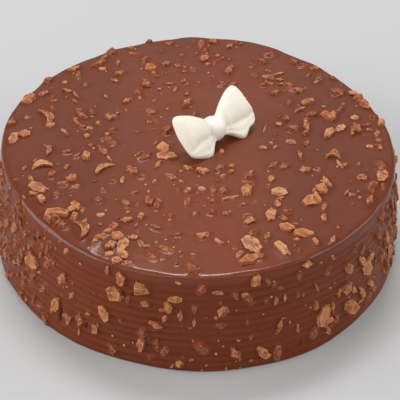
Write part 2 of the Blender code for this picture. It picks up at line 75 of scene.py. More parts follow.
Piece = bpy.types.Object
Array = np.ndarray
Numbers = float | Array
Span = tuple[float, float]
Line = tuple[Span, ...]
# A place on the glaze, and the way out of it
Surface = tuple[Vector, Vector]

log = logging.getLogger("cake")


# The cake's surface


@dataclass(frozen=True)
class CakeForm:
    """The sizes of the glazed cake, and where its surface lies."""

    height: float = 55.6 * MM
    rim_radius: float = 98.0 * MM
    foot_radius: float = 104.3 * MM
    rim_round: float = 2.5 * MM
    foot_round: float = 0.8 * MM
    rib_count: int = 13
    rib_clear: float = 3.8 * MM
    rib_depth: float = 0.34 * MM
    rim_sway: float = 2.2 * MM
    rim_sway_angle: float = math.radians(172)
    fullest_angle: float = math.radians(140)
    foot_sway: float = 0.35 * MM
    swell: float = 0.35 * MM
    calm_reach: float = 36 * MM
    calm_fade: float = 30 * MM
    slump: float = 1.6 * MM
    slump_angle: float = math.radians(212)
    slump_reach: float = 16 * MM

    @property
    def flare(self) -> float:
        """How far the side leans back from upright, in radians."""
        return math.atan2(self.foot_radius - self.rim_radius, self.height)

    @property
    def rib_pitch(self) -> float:
        """The height of one rib."""
        return (self.height - self.rib_clear) / self.rib_count

    def side_radius(self, height: Numbers) -> Numbers:
        """The radius of the side before its ribs, at a height or an array of them."""
        return self.foot_radius + (self.rim_radius - self.foot_radius) * height / self.height

    def sway(self, angle: Numbers, height: Numbers) -> Numbers:
        """How far the side stands out or in: in four waves at the rim, fading to small ones at the foot.

        Args:
            angle: The bearing or bearings, in radians.
            height: The height or heights over the underside.

        Returns:
            The distance outwards, as a number or an array.
        """
        fullness = 0.55 + 0.45 * np.cos(angle - self.fullest_angle)
        rim = self.rim_sway * fullness * np.cos(4 * (angle - self.rim_sway_angle))
        foot = self.foot_sway * (np.sin(5 * angle + 0.6) + 0.7 * np.sin(11 * angle))
        return foot + (rim - foot) * height / self.height

    def top_offset(self, x: Numbers, y: Numbers) -> Numbers:
        """How far the glaze on top lies above or below the cake's height.

        Args:
            x: The place or places along +X.
            y: The place or places along +Y.

        Returns:
            The distance upwards, as a number or an array.
        """
        radius = np.hypot(x, y)
        calm = np.clip((radius - self.calm_reach) / self.calm_fade, 0, 1)
        wave = np.sin(x / (17 * MM) + 1.0) * np.cos(y / (21 * MM)) + 0.5 * np.sin((x - y) / (13 * MM))
        near_slump = np.maximum(0.0, np.cos(np.arctan2(y, x) - self.slump_angle)) ** 2
        outer = np.maximum(0.0, (radius - self.rim_radius + self.slump_reach) / self.slump_reach)
        return self.swell * calm * wave - self.slump * near_slump * outer * outer

    def on_top(self, x: float, y: float) -> Surface:
        """A place on the glaze on top, and the way out of it."""
        return Vector((x, y, self.height + self.top_offset(x, y))), Vector((0, 0, 1))

    def on_side(self, bearing: float, height: float) -> Surface:
        """A place on the side, and the way out of it.

        Args:
            bearing: The angle from +X, in radians.
            height: The height over the underside.

        Returns:
            The place and the outward direction.
        """
        level = Vector((math.cos(bearing), math.sin(bearing), 0))
        place = level * (self.side_radius(height) + self.sway(bearing, height)) + Vector((0, 0, height))
        return place, level * math.cos(self.flare) + Vector((0, 0, math.sin(self.flare)))


# Chopped nuts: their kinds and where they lie


class NutKind(Enum):
    """The ways in which a nut breaks."""

    CHUNK = "chunk"
    SLAB = "slab"
    WEDGE = "wedge"
    SHARD = "shard"
    CURL = "curl"


CHUNK, SLAB, WEDGE, SHARD, CURL = NutKind


@dataclass(frozen=True)
class Recipe:
    """How a kind of chip is cut, from a block with so many sides and a top of so much of its foot's width.

    Cuts are the slices taken off it, flatness is its height over its width, and shapes is how many are made.
    """

    sides: int
    top: float
    cuts: int
    flatness: float
    shapes: int


RECIPES = {
    CHUNK: Recipe(5, 0.74, 2, 0.72, 4),
    SLAB: Recipe(6, 0.88, 1, 0.5, 4),
    WEDGE: Recipe(4, 0.56, 2, 0.66, 4),
    SHARD: Recipe(4, 0.6, 1, 0.85, 4),
    CURL: Recipe(4, 1.0, 0, 0.85, 1),
}
SCATTERED_KINDS = (CHUNK, WEDGE, CHUNK, SHARD, SLAB, CHUNK)


@dataclass(frozen=True)
class Row:
    """A chip on the list: where it lies, its length and width in millimetres, and its turn in degrees.

    On top its place is millimetres along +X and +Y. On the side it is a bearing in degrees and a height.
    Its cover is how far the glaze has run over it.
    """

    across: float
    up: float
    length: float
    width: float
    turn: float = 0
    kind: NutKind = CHUNK
    cover: float = 0


@dataclass(frozen=True)
class Chip:
    """One chip on the cake: its place, the way out of the glaze there, its size and how it lies.

    Cover is how much of it the glaze has run over, from 0 for none to 1 for a mound of glaze.
    """

    place: Vector
    outward: Vector
    length: float
    width: float
    height: float
    turn: float
    tilt: Span
    kind: NutKind
    cover: float = 0.0


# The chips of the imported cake, on top and on the side, as the values of a row.
TOP_ROWS = (
    (-65.5, -58.5, 11.5, 6, -12, SLAB), (-57.5, -52, 7.5, 4.5, -50), (-54.5, -70, 12, 3.8, -68, CURL),
    (-38.5, -68.5, 7, 4.5, 50), (-43, -74.5, 9.5, 4.5, 15, WEDGE), (-33.5, -79.5, 9.5, 4.5, 80, SLAB),
    (-77, -40, 9, 5.5, -25, SLAB), (-61.5, -32, 6, 4.5, 10), (-59, -38.5, 8.5, 3.6, 42, WEDGE),
    (-74, -47.5, 6.5, 4.5, -60), (-76.5, -25, 10.5, 3.2, 20, CURL), (-74.5, -12, 9, 3.4, 78, SHARD),
    (-56, -14, 6.8, 4.8, -60), (-45, -24, 13, 3, 40, CURL), (-16.5, -12, 9.5, 5.5, 10, SLAB),
    (-23, -48, 7, 4.8, -75), (-33, -62.5, 6.8, 3.4, 10, SHARD), (-26.5, -59.5, 5, 4, 60),
    (2.5, -23, 7, 5, 5, WEDGE), (-32.5, -24.5, 7.5, 5, -50), (10.8, -7.2, 4.6, 3.8, -60),
    (12, -38, 5.2, 4.6, 80, WEDGE), (16.5, -42.5, 10, 3.2, 28, WEDGE), (23.5, -37, 9, 5.5, 80),
    (36.5, -16, 9, 3.6, 48, WEDGE), (51.5, -19, 6.4, 5, 0, WEDGE), (67, -8, 7, 4, -10, CURL),
    (62.5, -27.5, 10, 4.2, -68, WEDGE), (60, -34, 7.5, 5, -60), (54.5, -43, 10, 6, 38, SLAB),
    (39, -37, 7.5, 5, 5, SLAB), (35, -54.5, 8.5, 5.5, 80), (42, -63.5, 8, 5, -10),
    (49.5, -67, 8.5, 5, 5, SLAB), (25.5, -76, 11, 7.2, -48, SLAB), (24.5, -85.8, 9.5, 5.2, 30, SLAB),
    (39, -78, 8.8, 5.2, -58, SLAB), (24, -59.5, 6.5, 4.5, 35), (3.5, -70, 6.5, 4.5, 30),
    (82.5, -41, 9.5, 3.8, 66, SHARD), (-90, 32, 9, 6, 60), (-80.5, 16, 13, 3.8, -65, CURL),
    (-56, 67, 10.5, 3.4, 36, SHARD), (-44.5, 58.5, 7, 4.8, 25, WEDGE), (-28, 65, 7, 5.2, -25),
    (-30, 49, 5.5, 4.8, 0), (-45.5, 19, 6.5, 4.5, 20), (-61, 19.5, 8.5, 3.4, -40, SHARD),
    (-7.5, 33, 9.5, 4, 62, SHARD), (14.5, 66, 9, 4.4, 65, WEDGE), (36, 60, 7.5, 5, 10),
    (39, 46, 6.2, 4.4, 30, WEDGE), (56, 38, 7.5, 4.4, 25, SLAB), (65.5, 27.5, 9.5, 5.5, -52),
    (54.5, 17.5, 9.5, 3.8, -75, SHARD), (66, 12.5, 8.5, 5, 58), (80, 17, 7.5, 5, -60),
    (50.5, -7, 10.5, 2.8, -86, SHARD), (-96, 12.5, 7, 4.5, 80), (-69.5, 61.5, 9, 4.4, 32, WEDGE),
    (-82, 50, 6, 4, 50), (93, 22.5, 6.5, 4, 78), (-93.5, -2, 8, 4.4, 85, SLAB), (84.5, 41, 8, 4.6, -50),
    (-81, -33, 6, 3, -55, WEDGE), (-20, -19, 7, 2.5, 60, SHARD), (-5, -21.5, 5, 4.5, 0, WEDGE),
    (-5, -38.5, 4.5, 4.5, 20), (-25.5, -78, 5, 3, -80, SLAB), (16, -18, 4, 3.5, 0), (10.5, -74, 6, 3, -40),
    (35.5, -26.5, 5, 3, 75, SLAB), (69.5, -13, 8, 2.5, -70, SHARD), (80, -23.5, 5, 4, 20, SLAB),
    (38, -45.5, 5, 3, -70, SLAB), (40.5, -57, 5, 3, -30), (60, -55, 5.5, 3, 85, SLAB), (55, -71.5, 6, 3, -65),
    (63, -71, 7, 3, 65, SHARD), (29, -83.5, 4, 4, 0), (84, -33.5, 5, 3.5, 0, WEDGE),
    (90, -22, 9, 5, 80, SLAB), (-88.5, 16, 4.5, 3.5, 0, WEDGE), (-88.5, 2, 6, 5, 0, SLAB),
    (-76, 9.5, 5, 3.5, 30), (-83, 38, 6, 4, 40), (-70, 41, 6, 3, 0, WEDGE), (-66, 38, 7, 2.5, -60, SHARD),
    (-61.5, 47, 4, 3.5, 0, WEDGE), (-53.5, 73, 7, 3, 45, SHARD), (-46, 68.5, 6, 2.5, -85, SHARD),
    (-20, 69.5, 5, 4, 0), (-13.5, 68.5, 6, 3, -25, WEDGE), (-39, 33.5, 6, 4, 40, WEDGE),
    (-57, 2.5, 4, 4, 0, WEDGE), (-19, 90, 6, 2.5, 5, SHARD), (-40, 84, 5, 3, 15, WEDGE), (5, 94, 5, 4, 0),
    (15, 90, 6, 3.5, 60, WEDGE), (1, 77, 6, 4, 60, SLAB), (36, 55.5, 5, 3, -30, SLAB),
    (42, 64.5, 8, 2, 25, SHARD), (52, 48.5, 5, 4.5, 0), (61, 70, 5, 3.5, 0), (63, 59.5, 6, 5, 40, WEDGE),
    (80, 48, 6, 4, 0), (52.5, 32, 8, 2.5, 45, SHARD), (72, 17, 6, 4, 40, SLAB), (44, 23.5, 5, 3.5, -60),
    (40, 18, 4.5, 3.5, 0), (54, 12, 5, 3.5, 75, WEDGE), (80, 26.5, 4.5, 3.5, 0, SLAB), (90.5, 12.5, 6, 3, 80),
    (33, 13, 10, 1.6, 75, SHARD), (46, 3.5, 5, 3, 0, SLAB), (-47, -48, 4, 4, 0, SLAB, 1),
    (-67.5, -44.5, 5, 3, 80, CHUNK, 1), (-64, -65, 5, 4, 0, WEDGE, 1), (-5, -47, 6, 3, 85, SLAB, 1),
    (24, -26, 6, 5, 0, CHUNK, 1), (85, -29, 6, 4, 30, CHUNK, 1), (90, -14, 9, 6, -70, WEDGE, 1),
    (-26, 25, 5, 4.5, 0, SLAB, 1), (-23, 18, 7, 2, -65, WEDGE, 1), (27, 72, 5, 3, 20, WEDGE, 1),
    (28, 62, 4, 3.5, 0, SLAB, 1), (37, 82.5, 8, 4, 10, CHUNK, 1), (32.5, 53, 5, 3, 0, CHUNK, 1),
    (55, 73, 8, 4, 20, WEDGE, 1), (72, 48, 7, 6, 0, SLAB, 1), (48, 15, 7, 5, 20, CHUNK, 1),
    (6.5, -53, 4, 3.5, 0, CHUNK, 1),
)
SIDE_ROWS = (
    (232.4, 34, 7.5, 4.6, 84), (235.8, 27.5, 6.2, 3.4, 62, WEDGE), (230.4, 16.5, 9, 4.6, 76, SLAB),
    (235, 14.5, 6.5, 4.8, 10), (239, 15.5, 8.5, 3.8, 82, WEDGE), (243.6, 14.5, 8, 4.4, 84),
    (246, 26, 8.5, 5, -64, SLAB), (219.8, 30.5, 9, 7, 10, SLAB), (250.4, 49, 7.5, 5, -70),
    (248.6, 39.8, 9.2, 7.8, 12), (256.2, 45.6, 8, 6.6, -20), (257.2, 38, 5.2, 4, -20, WEDGE),
    (263.4, 38.2, 6.8, 4.6, -76), (266.6, 34, 6.4, 3.2, 88, SHARD), (260.6, 26.6, 7.4, 4.4, -14, WEDGE),
    (256.6, 13.4, 9.8, 4.4, 86), (277.6, 36.4, 7, 5.6, 70), (286, 51, 6.8, 5, 84),
    (281, 10.6, 6.4, 4.2, -64, WEDGE), (288.8, 8.8, 8, 4.2, -58, SLAB), (301.5, 52.4, 6.6, 4.6, -14, WEDGE),
    (293.2, 23.2, 7, 3.2, 72, SHARD), (306.8, 18.6, 11.5, 6.6, 82, SLAB), (308.2, 8.6, 6.4, 4.4, -78, WEDGE),
    (316, 38.2, 6.6, 5, -70), (314.6, 27, 7.6, 6, 20), (324.4, 29, 9, 6.4, -50, SLAB),
    (316.8, 14.2, 11.5, 8, -32), (321.4, 18.6, 8.6, 4.2, -58, SHARD), (326.6, 17, 6.6, 4.4, -64),
    (246.5, 50.5, 5, 3, -80, WEDGE), (265.3, 43, 6, 3.5, 0, SLAB), (262.8, 31, 4.5, 3, 75),
    (267, 5, 4, 4, 0, SLAB), (292, 38, 5, 3, 90, WEDGE), (322, 36, 8, 4, -60), (337, 31, 10, 4, 70, SHARD),
    (341, 18, 10, 5, -70, SLAB), (331, 41, 6, 4, 20, CHUNK, 0.7), (334, 24, 7, 4, 60, CHUNK, 0.6),
    (329, 10, 6, 4, -20, WEDGE), (345, 38, 7, 4, 60, SLAB, 0.6), (348, 26, 8, 4, -80, CHUNK, 0.5),
    (338, 8, 6, 4, 10, CHUNK, 0.7), (212, 44, 8, 3, -80, SHARD, 0.7), (208, 36, 7, 4, 80, SLAB, 0.5),
    (205, 24, 8, 4, 60, CHUNK, 0.8), (213, 22, 7, 4, -70, CHUNK, 0.8), (216, 12, 7, 4, 70, WEDGE, 0.7),
    (203, 12, 8, 4, 85, SLAB, 0.8), (199, 34, 8, 3.5, 80, SHARD, 0.6), (196, 20, 7, 4, -80, CHUNK, 0.6),
    (224, 8, 6, 3.5, 20, WEDGE, 0.5), (220.5, 22, 8, 5, 60, WEDGE, 1), (226, 45, 9, 4, 85, WEDGE, 1),
    (277, 28, 5, 3, 0, CHUNK, 1), (210, 30, 8, 5, 80, WEDGE, 1), (201, 45, 9, 4, 80, WEDGE, 1),
    (218, 38, 6, 4, 70, CHUNK, 1), (207, 16, 7, 4, 60, CHUNK, 1), (319, 46, 6, 4, 60, WEDGE, 1),
    (343, 46, 8, 4, 80, SLAB, 1), (333, 50, 6, 4, 20, CHUNK, 1), (196, 9, 7, 4, 80, CHUNK, 1),
)

# Smaller chips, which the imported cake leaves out, and whose kinds follow by a rule.
SMALLER_TOP = (
    (-31, -73, 4, 1.5, 10), (-80, -19.5, 4, 3, 0), (-75, -8.5, 7, 2.5, -30), (-44.5, -15, 6, 2, -65),
    (-36.5, -32, 5, 2.5, 80), (-65, -24, 5, 2.5, 70), (-29.5, -9.5, 4, 2, 50), (-8.5, -31, 4, 2.5, -30),
    (-18.5, -46.5, 5, 2, -55), (-21, -32.5, 4, 2.5, 70), (-45, -59, 4, 3, 0), (-28, -65, 5.5, 1.8, 75),
    (-12.5, -57, 3, 2.5, 0), (-12.5, -60.5, 3.5, 2.5, 40), (-22.5, -79, 5, 2.5, 20), (-1, -55, 4, 2.5, 80),
    (-39, -85, 4, 3, 10), (-54.5, -5.5, 3.5, 3, 0), (-85, -25, 4, 2, 60), (-82.5, -46, 4, 1.5, -50),
    (-1, -84, 3, 2, 0), (-14, -74, 3, 1, 20), (2, -36.5, 4, 3, 0), (16, -22.5, 4, 3, 50),
    (12, -26.5, 3.5, 3, 0), (9.5, -30, 2.5, 2.2, 0), (26, -22, 4, 2.5, 30), (72.5, -13.5, 3.5, 3, 0),
    (79.5, -12.5, 3.5, 2, 85), (56, -35, 5, 2.5, 80), (57.5, -40, 7, 3.5, -60), (39.5, -41.5, 5, 2.5, 20),
    (13.5, -54, 3.5, 3, 0), (7, -45.5, 4, 3, 30), (53, -66.5, 3, 3, 0), (46, -71, 4, 2, 0),
    (41.5, -80, 6, 2.5, -60), (72, -35, 5, 2, 60), (74.5, -37, 4, 3, 0), (78, -39, 2.5, 2, 0),
    (32, -2.5, 4, 3, 0), (38, -1.5, 4, 2.5, 40), (18, -79, 3, 2, 0), (-70.5, 35.5, 3, 2, 0),
    (-66, 32, 5, 2, -50), (-73, 48.5, 4, 2.5, 30), (-54, 62.5, 4, 3, 0), (-46.5, 52, 5, 2.5, -25),
    (-26, 60, 3, 3, 0), (-10, 63, 4, 2.5, 0), (-30, 53.5, 3, 2, 0), (-17, 51, 8, 1.6, 10),
    (-14, 45.5, 6, 2, 70), (-22.5, 45.5, 2.5, 2.2, 0), (-7.5, 43, 5, 2.5, 80), (-7.5, 36, 5, 3, 10),
    (-50, 37, 5, 2, -60), (-43, 22.5, 3, 2, 0), (-64, 17, 3, 2, 0), (-52.5, 13.5, 3, 3, 0),
    (-24.5, 35, 3, 1.5, 50), (-17.5, 28, 2.5, 2.2, 0), (-26, 16, 3, 2.5, 0), (-67, 2.5, 3, 3, 0),
    (-69, 6, 4, 2, -50), (-47, 4.5, 4, 3, 0), (-31.5, 7.5, 3, 2, 0), (-14, 88.5, 4, 2, 0),
    (-23.5, 82, 2.5, 2, 0), (-30, 92, 4, 2.5, 10), (-77, 32, 4, 2, 0), (6.5, 72.5, 4, 2, 80),
    (3, 71, 3, 2.5, 0), (8, 80, 4, 3, 20), (11, 78, 3, 2.5, 60), (14, 63.5, 5, 4, 0), (35, 67, 2.5, 2, 0),
    (36.5, 62, 6, 1.6, 20), (42, 58.5, 5, 2, 0), (43, 55, 6, 1.6, 30), (44, 48.5, 3, 2, 0),
    (61.5, 57, 4, 3, 0), (75, 38.5, 4, 2, 70), (83, 44, 7, 5, 30), (86, 38, 8, 5, -60), (68, 26, 8, 6, 70),
    (64.5, 35, 2.5, 2.2, 0), (65, 10, 6, 3.5, 55), (78, 13.5, 6, 2.5, 80), (86, 20.5, 6, 2, 15),
    (87, 16.5, 4, 2.5, 0), (38, 9, 2.5, 2, 0), (54, 3, 5, 2.5, 60), (36, 1.5, 3, 2.5, 0), (86, 2, 4, 3, 0),
    (91, 1, 3, 2.5, 0), (-18, -6, 9, 6, -60), (-15, -88, 4, 3, 0), (-56, 9, 4, 3, 0), (-67.5, -62, 9, 6, -15),
    (-58, -55, 6, 4, 30), (-57.5, -61, 6, 4, 80), (-52, -64, 5, 3, 60), (-41, -70.5, 6, 4, 30),
    (-36, -74, 7, 5, -20), (-38.5, -80, 6, 5, 20), (-33, -85, 6, 4, -40), (-29, -74, 5, 3, 10),
    (-35.5, -89, 5, 4, 0), (-46, -77, 5, 3.5, 40), (-30, -90, 4, 3, 0), (-62, -67, 5, 3.5, 20),
    (20, -83, 5, 3, 60), (59, -31, 6, 3, 30), (-78, -44, 5, 3, 0),
)
SMALLER_SIDE = (
    (239, 9, 6, 2, 90), (229.3, 12.5, 5, 2.5, 85), (221.5, 31, 7, 4, 80), (233, 50.5, 4, 2.5, 60),
    (226, 39, 6, 2, 0), (270.3, 30, 5.5, 2, 80), (276, 33, 3, 3, 0), (283.3, 44.5, 3.5, 3.5, 0),
    (282, 18.5, 2.5, 2, 0), (282, 10, 4, 3, -80), (280.3, 14, 2.5, 1.5, 0), (265, 3, 5, 1.5, 60),
    (279, 1.8, 4, 1.5, 80), (290, 6.5, 4, 3, 0), (285.5, 5, 3, 2, 0), (294.5, 26, 3, 1.5, 0),
    (305.5, 50.5, 3, 1.5, 0), (294.5, 38, 5, 2, 80), (304.5, 37, 6, 2, -70), (298.5, 17, 6, 2, -80),
    (305, 17, 9, 3, 85), (308, 14, 7, 5, 0), (316.2, 26.5, 6, 3, 85), (326, 32, 7, 4, 0), (322, 11, 6, 2, 0),
    (243, 35, 2.5, 1.2, 0), (266, 52, 3, 2, 0), (276, 47, 5, 2.5, 0), (310, 21, 7, 2.5, 85),
    (312.3, 27, 5, 3.5, 80), (317, 27.5, 4, 3.5, 0), (318.6, 22, 7, 4, -55), (322.8, 14.5, 6, 4, -60),
    (326.5, 33, 6, 5, -40), (309.5, 13, 4, 3, 70), (304.3, 27, 5, 3, 80), (235, 11, 5, 3, 60),
    (238.5, 17, 6, 3, 85), (241.5, 22, 4, 2.5, 20), (226, 36, 5, 3, 70), (218, 33, 4, 3, 0),
    (223, 27, 4, 2.5, 40), (229, 48, 3, 2, 60), (262, 36, 4, 2.5, 10),
)


@dataclass(frozen=True)
class Slit:
    """A slit in the side where the glaze has not closed, in the units of a row, with its depth."""

    bearing: float
    height: float
    length: float
    width: float
    turn: float
    depth: float


SLITS = (
    Slit(219.4, 44, 6.5, 2.2, 85, 1.6), Slit(232.2, 12, 10, 2.0, 86, 1.2), Slit(221.8, 24.5, 5, 1.4, 60, 0.9),
    Slit(240.8, 14, 5, 1.2, 85, 0.9), Slit(254, 41.5, 4, 1.0, 60, 0.6), Slit(299.5, 8, 4, 0.9, 50, 0.6),
)


@dataclass(frozen=True)
class Drowned:
    """A lot of chips just under the glaze: how many, their least cover, and their stretch of the side.

    The stretch is in degrees, and without one they lie on top.
    """

    count: int
    least_cover: float
    bearings: Span | None = None


DROWNED = (
    Drowned(46, 0.45, (188, 229)), Drowned(16, 0.45, (322, 348)), Drowned(26, 0.6, (229, 322)),
    Drowned(50, 0.5, (-13, 188)), Drowned(80, 0.6),
)


@dataclass
class NutScatter:
    """Lays the chips on the cake: the listed ones, then more by a rule with seeded draws.

    A spacing is the least distance between two chips, as a share of their lengths together. Lengths without
    MM are in millimetres, slim is a chip's width over its length, and clear is how far it stays from the foot
    and from the rim. The drowned chips' turn on the side has a mean and a spread.
    """

    form: CakeForm
    hidden_chips: int = 36
    hidden_from: float = math.radians(-13)
    hidden_to: float = math.radians(194)
    largest: float = 9.5 * MM
    smallest: float = 5.0 * MM
    tilt: float = 10
    spacing: float = 0.62
    small_spacing: float = 0.45
    drowned_spacing: float = 0.36
    side_clear: float = 4.0 * MM
    cluster_share: float = 0.55
    slim: Span = (0.5, 0.8)
    shard_width: float = 0.6
    hidden_smaller: int = 110
    hidden_largest: float = 7.0
    hidden_range: float = 4.0
    hidden_slim: Span = (0.35, 0.8)
    hidden_clear: Span = (2.5 * MM, 3.5 * MM)
    bit_count: int = 170
    bit_length: Span = (1.6, 3.0)
    bit_slim: Span = (0.4, 0.9)
    crumb_count: int = 260
    crumb_length: Span = (0.6, 1.4)
    crumb_slim: Span = (0.5, 1)
    beside_share: float = 0.8
    bit_drift: float = 5 * MM
    crumb_drift: float = 3.5 * MM
    top_share: float = 0.47
    edge_clear: float = 1.5 * MM
    below_rim: float = 3 * MM
    covers: tuple[float, ...] = (0.0, 0.0, 1.0)
    drowned_length: Span = (3.5, 8.0)
    drowned_slim: Span = (0.4, 0.7)
    drowned_clear: Span = (3 * MM, 5 * MM)
    drowned_turn: Span = (85, 22)
    bow_place: Vector = field(default_factory=lambda: Vector((*BOW_PLACE, 55.6)) * MM)
    bow_room: float = 21 * MM
    rng: random.Random = field(init=False)

    def lay(self) -> list[Chip]:
        """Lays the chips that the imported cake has, in its own order of draws.

        Returns:
            The chips: the listed ones, then those of the rule, largest first.
        """
        self.rng = random.Random(SEED)
        chips = [self._listed(Row(*values)) for values in (*TOP_ROWS, *SIDE_ROWS)]
        return chips + self._scattered(chips)

    def lay_smaller(self, placed: Sequence[Chip]) -> list[Chip]:
        """Lays the smaller chips and bits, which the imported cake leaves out.

        Args:
            placed: The chips that lie there already.

        Returns:
            The smaller chips.
        """
        self.rng = random.Random(SEED + 1)
        made = []
        for index, values in enumerate((*SMALLER_TOP, *SMALLER_SIDE)):
            row = Row(*values)
            kind = SHARD if row.width < 0.5 * row.length else SCATTERED_KINDS[index % len(SCATTERED_KINDS)]
            made.append(self._listed(replace(row, kind=kind)))
        made += self._hidden([*placed, *made])
        made += self._bits([*placed, *made])
        for lot in DROWNED:
            made += self._drowned([*placed, *made], lot)
        return made

    def _listed(self, row: Row) -> Chip:
        """The chip of a row, on the side where its place is a bearing, which is always past 180 degrees.

        Args:
            row: The row.

        Returns:
            The chip.
        """
        if row.across > 180:
            surface = self.form.on_side(math.radians(row.across), row.up * MM)
        else:
            surface = self.form.on_top(row.across * MM, row.up * MM)
        chip = self._chip(surface, row.kind, row.length * MM, row.width * MM, row.turn)
        return replace(chip, cover=row.cover)

    def _chip(self, surface: Surface, kind: NutKind, length: float, width: float, turn: float) -> Chip:
        """A chip on its surface, tipped a little at random.

        Args:
            surface: The place and the way out of the glaze.
            kind: How it is broken.
            length: Its length.
            width: Its width.
            turn: Its turn on the surface, in degrees.

        Returns:
            The chip.
        """
        tilt = (self.rng.uniform(-self.tilt, self.tilt), self.rng.uniform(-self.tilt, self.tilt))
        return Chip(*surface, length, width, width * RECIPES[kind].flatness, turn, tilt, kind)

    def _loose(self, surface: Surface, kind: NutKind, length: float, slim: Span) -> Chip:
        """A chip turned any way, whose width is a drawn share of its length."""
        return self._chip(surface, kind, length, length * self.rng.uniform(*slim), self.rng.uniform(-90, 90))

    @staticmethod
    def _crowding(angle: float, other: float) -> float:
        """How many chips gather here, from 0 to 1: they lie in drifts, with bare glaze between."""
        return 0.5 + 0.25 * math.sin(5 * angle + 3 * other) + 0.25 * math.sin(9 * angle - 5 * other + 1)

    def _scattered(self, chips: Sequence[Chip]) -> list[Chip]:
        """Fills the far half of the side between the chips that lie there, the largest first.

        Args:
            chips: The chips that lie there.

        Returns:
            The new chips.
        """
        made = []
        while len(made) < self.hidden_chips:
            share = math.sqrt(len(made) / self.hidden_chips)
            length = self.largest + (self.smallest - self.largest) * share
            angle = self.rng.uniform(self.hidden_from, self.hidden_to)
            other = self.rng.random()
            if self.rng.random() > 1 - self.cluster_share + self.cluster_share * self._crowding(angle, other):
                continue
            free = self.form.height - 2 * self.side_clear
            surface = self.form.on_side(angle, self.side_clear + other * free)
            if self._crowded(surface[0], length, (*chips, *made), self.spacing):
                continue
            kind = SCATTERED_KINDS[len(made) % len(SCATTERED_KINDS)]
            width = length * self.rng.uniform(*self.slim) * (self.shard_width if kind is SHARD else 1.0)
            made.append(self._chip(surface, kind, length, width, self.rng.uniform(-90, 90)))
        return made

    def _hidden(self, placed: Sequence[Chip]) -> list[Chip]:
        """Smaller chips for the side's far half, as dense as on its near half, the largest first.

        Args:
            placed: The chips that lie there already.

        Returns:
            The new chips.
        """
        made = []
        while len(made) < self.hidden_smaller:
            length = (self.hidden_largest - self.hidden_range * len(made) / self.hidden_smaller) * MM
            angle = self.rng.uniform(self.hidden_from, self.hidden_to)
            low, high = self.hidden_clear
            surface = self.form.on_side(angle, self.rng.uniform(low, self.form.height - high))
            if self._crowded(surface[0], length, (*placed, *made), self.small_spacing):
                continue
            kind = SCATTERED_KINDS[len(made) % len(SCATTERED_KINDS)]
            chip = self._loose(surface, kind, length, self.hidden_slim)
            made.append(replace(chip, cover=self.rng.choice(self.covers)))
        return made

    def _bits(self, placed: Sequence[Chip]) -> list[Chip]:
        """Small bits, most of them near a larger chip.

        Args:
            placed: The chips that lie there already.

        Returns:
            The new bits.
        """
        made = []
        while len(made) < self.bit_count:
            length = self.rng.uniform(*self.bit_length) * MM
            surface = self._loose_place(placed, self.bit_drift)
            crowded = self._crowded(surface[0], length, (*placed, *made), self.small_spacing)
            if crowded or self._under_bow(surface[0]):
                continue
            chip = self._loose(surface, self.rng.choice((CHUNK, WEDGE, SHARD)), length, self.bit_slim)
            made.append(replace(chip, cover=self.rng.choice(self.covers)))
        return made

    def _drowned(self, placed: Sequence[Chip], lot: Drowned) -> list[Chip]:
        """Chips that the glaze has run over, on top or along a stretch of the side.

        Args:
            placed: The chips that lie there already.
            lot: How many there are, and where.

        Returns:
            The new chips.
        """
        made = []
        while len(made) < lot.count:
            length = self.rng.uniform(*self.drowned_length) * MM
            low, high = self.drowned_clear
            if lot.bearings:
                height = self.rng.uniform(low, self.form.height - high)
                surface = self.form.on_side(math.radians(self.rng.uniform(*lot.bearings)), height)
                turn = self.rng.gauss(*self.drowned_turn)
            else:
                reach = math.sqrt(self.rng.random()) * (self.form.rim_radius - low)
                angle = self.rng.uniform(0, 2 * math.pi)
                surface = self.form.on_top(reach * math.cos(angle), reach * math.sin(angle))
                turn = self.rng.uniform(-90, 90)
            crowded = self._crowded(surface[0], length, (*placed, *made), self.drowned_spacing)
            if crowded or self._under_bow(surface[0]):
                continue
            kind = SCATTERED_KINDS[len(made) % len(SCATTERED_KINDS)]
            chip = self._chip(surface, kind, length, length * self.rng.uniform(*self.drowned_slim), turn)
            made.append(replace(chip, cover=self.rng.uniform(lot.least_cover, 1.0)))
        return made

    @staticmethod
    def _crowded(place: Vector, length: float, placed: Sequence[Chip], spacing: float) -> bool:
        """Whether a chip of this length would lie too close to another one."""
        return any((place - chip.place).length < spacing * (length + chip.length) for chip in placed)

    def _under_bow(self, place: Vector) -> bool:
        """Whether a place lies under or against the bow."""
        return (place - self.bow_place).length < self.bow_room

    def _loose_place(self, placed: Sequence[Chip], drift: float) -> Surface:
        """A place for a loose bit: most lie beside a chip, the others anywhere."""
        return self._beside(placed, drift) if self.rng.random() < self.beside_share else self._anywhere()

    def _anywhere(self) -> Surface:
        """A random place on the top or the side, by their shares of the surface.

        Returns:
            The place and the way out of the glaze.
        """
        angle = self.rng.uniform(0, 2 * math.pi)
        if self.rng.random() < self.top_share:
            reach = math.sqrt(self.rng.random()) * (self.form.rim_radius - self.edge_clear)
            return self.form.on_top(reach * math.cos(angle), reach * math.sin(angle))
        return self.form.on_side(angle, self.rng.uniform(self.edge_clear, self.form.height - self.below_rim))

    def _beside(self, placed: Sequence[Chip], drift: float) -> Surface:
        """A random place near one of the chips.

        Args:
            placed: The chips.
            drift: How far from the chip it tends to lie.

        Returns:
            The place and the way out of the glaze.
        """
        chip = self.rng.choice(placed)
        aside, up = self.rng.gauss(0, drift), self.rng.gauss(0, drift)
        if chip.outward.z > 0.9:
            place = chip.place + Vector((aside, up, 0))
            if math.hypot(place.x, place.y) < self.form.rim_radius - self.edge_clear:
                return self.form.on_top(place.x, place.y)
            return self._anywhere()
        bearing = math.atan2(chip.place.y, chip.place.x) + aside / self.form.foot_radius
        height = min(max(chip.place.z + up, self.edge_clear), self.form.height - self.below_rim)
        return self.form.on_side(bearing, height)

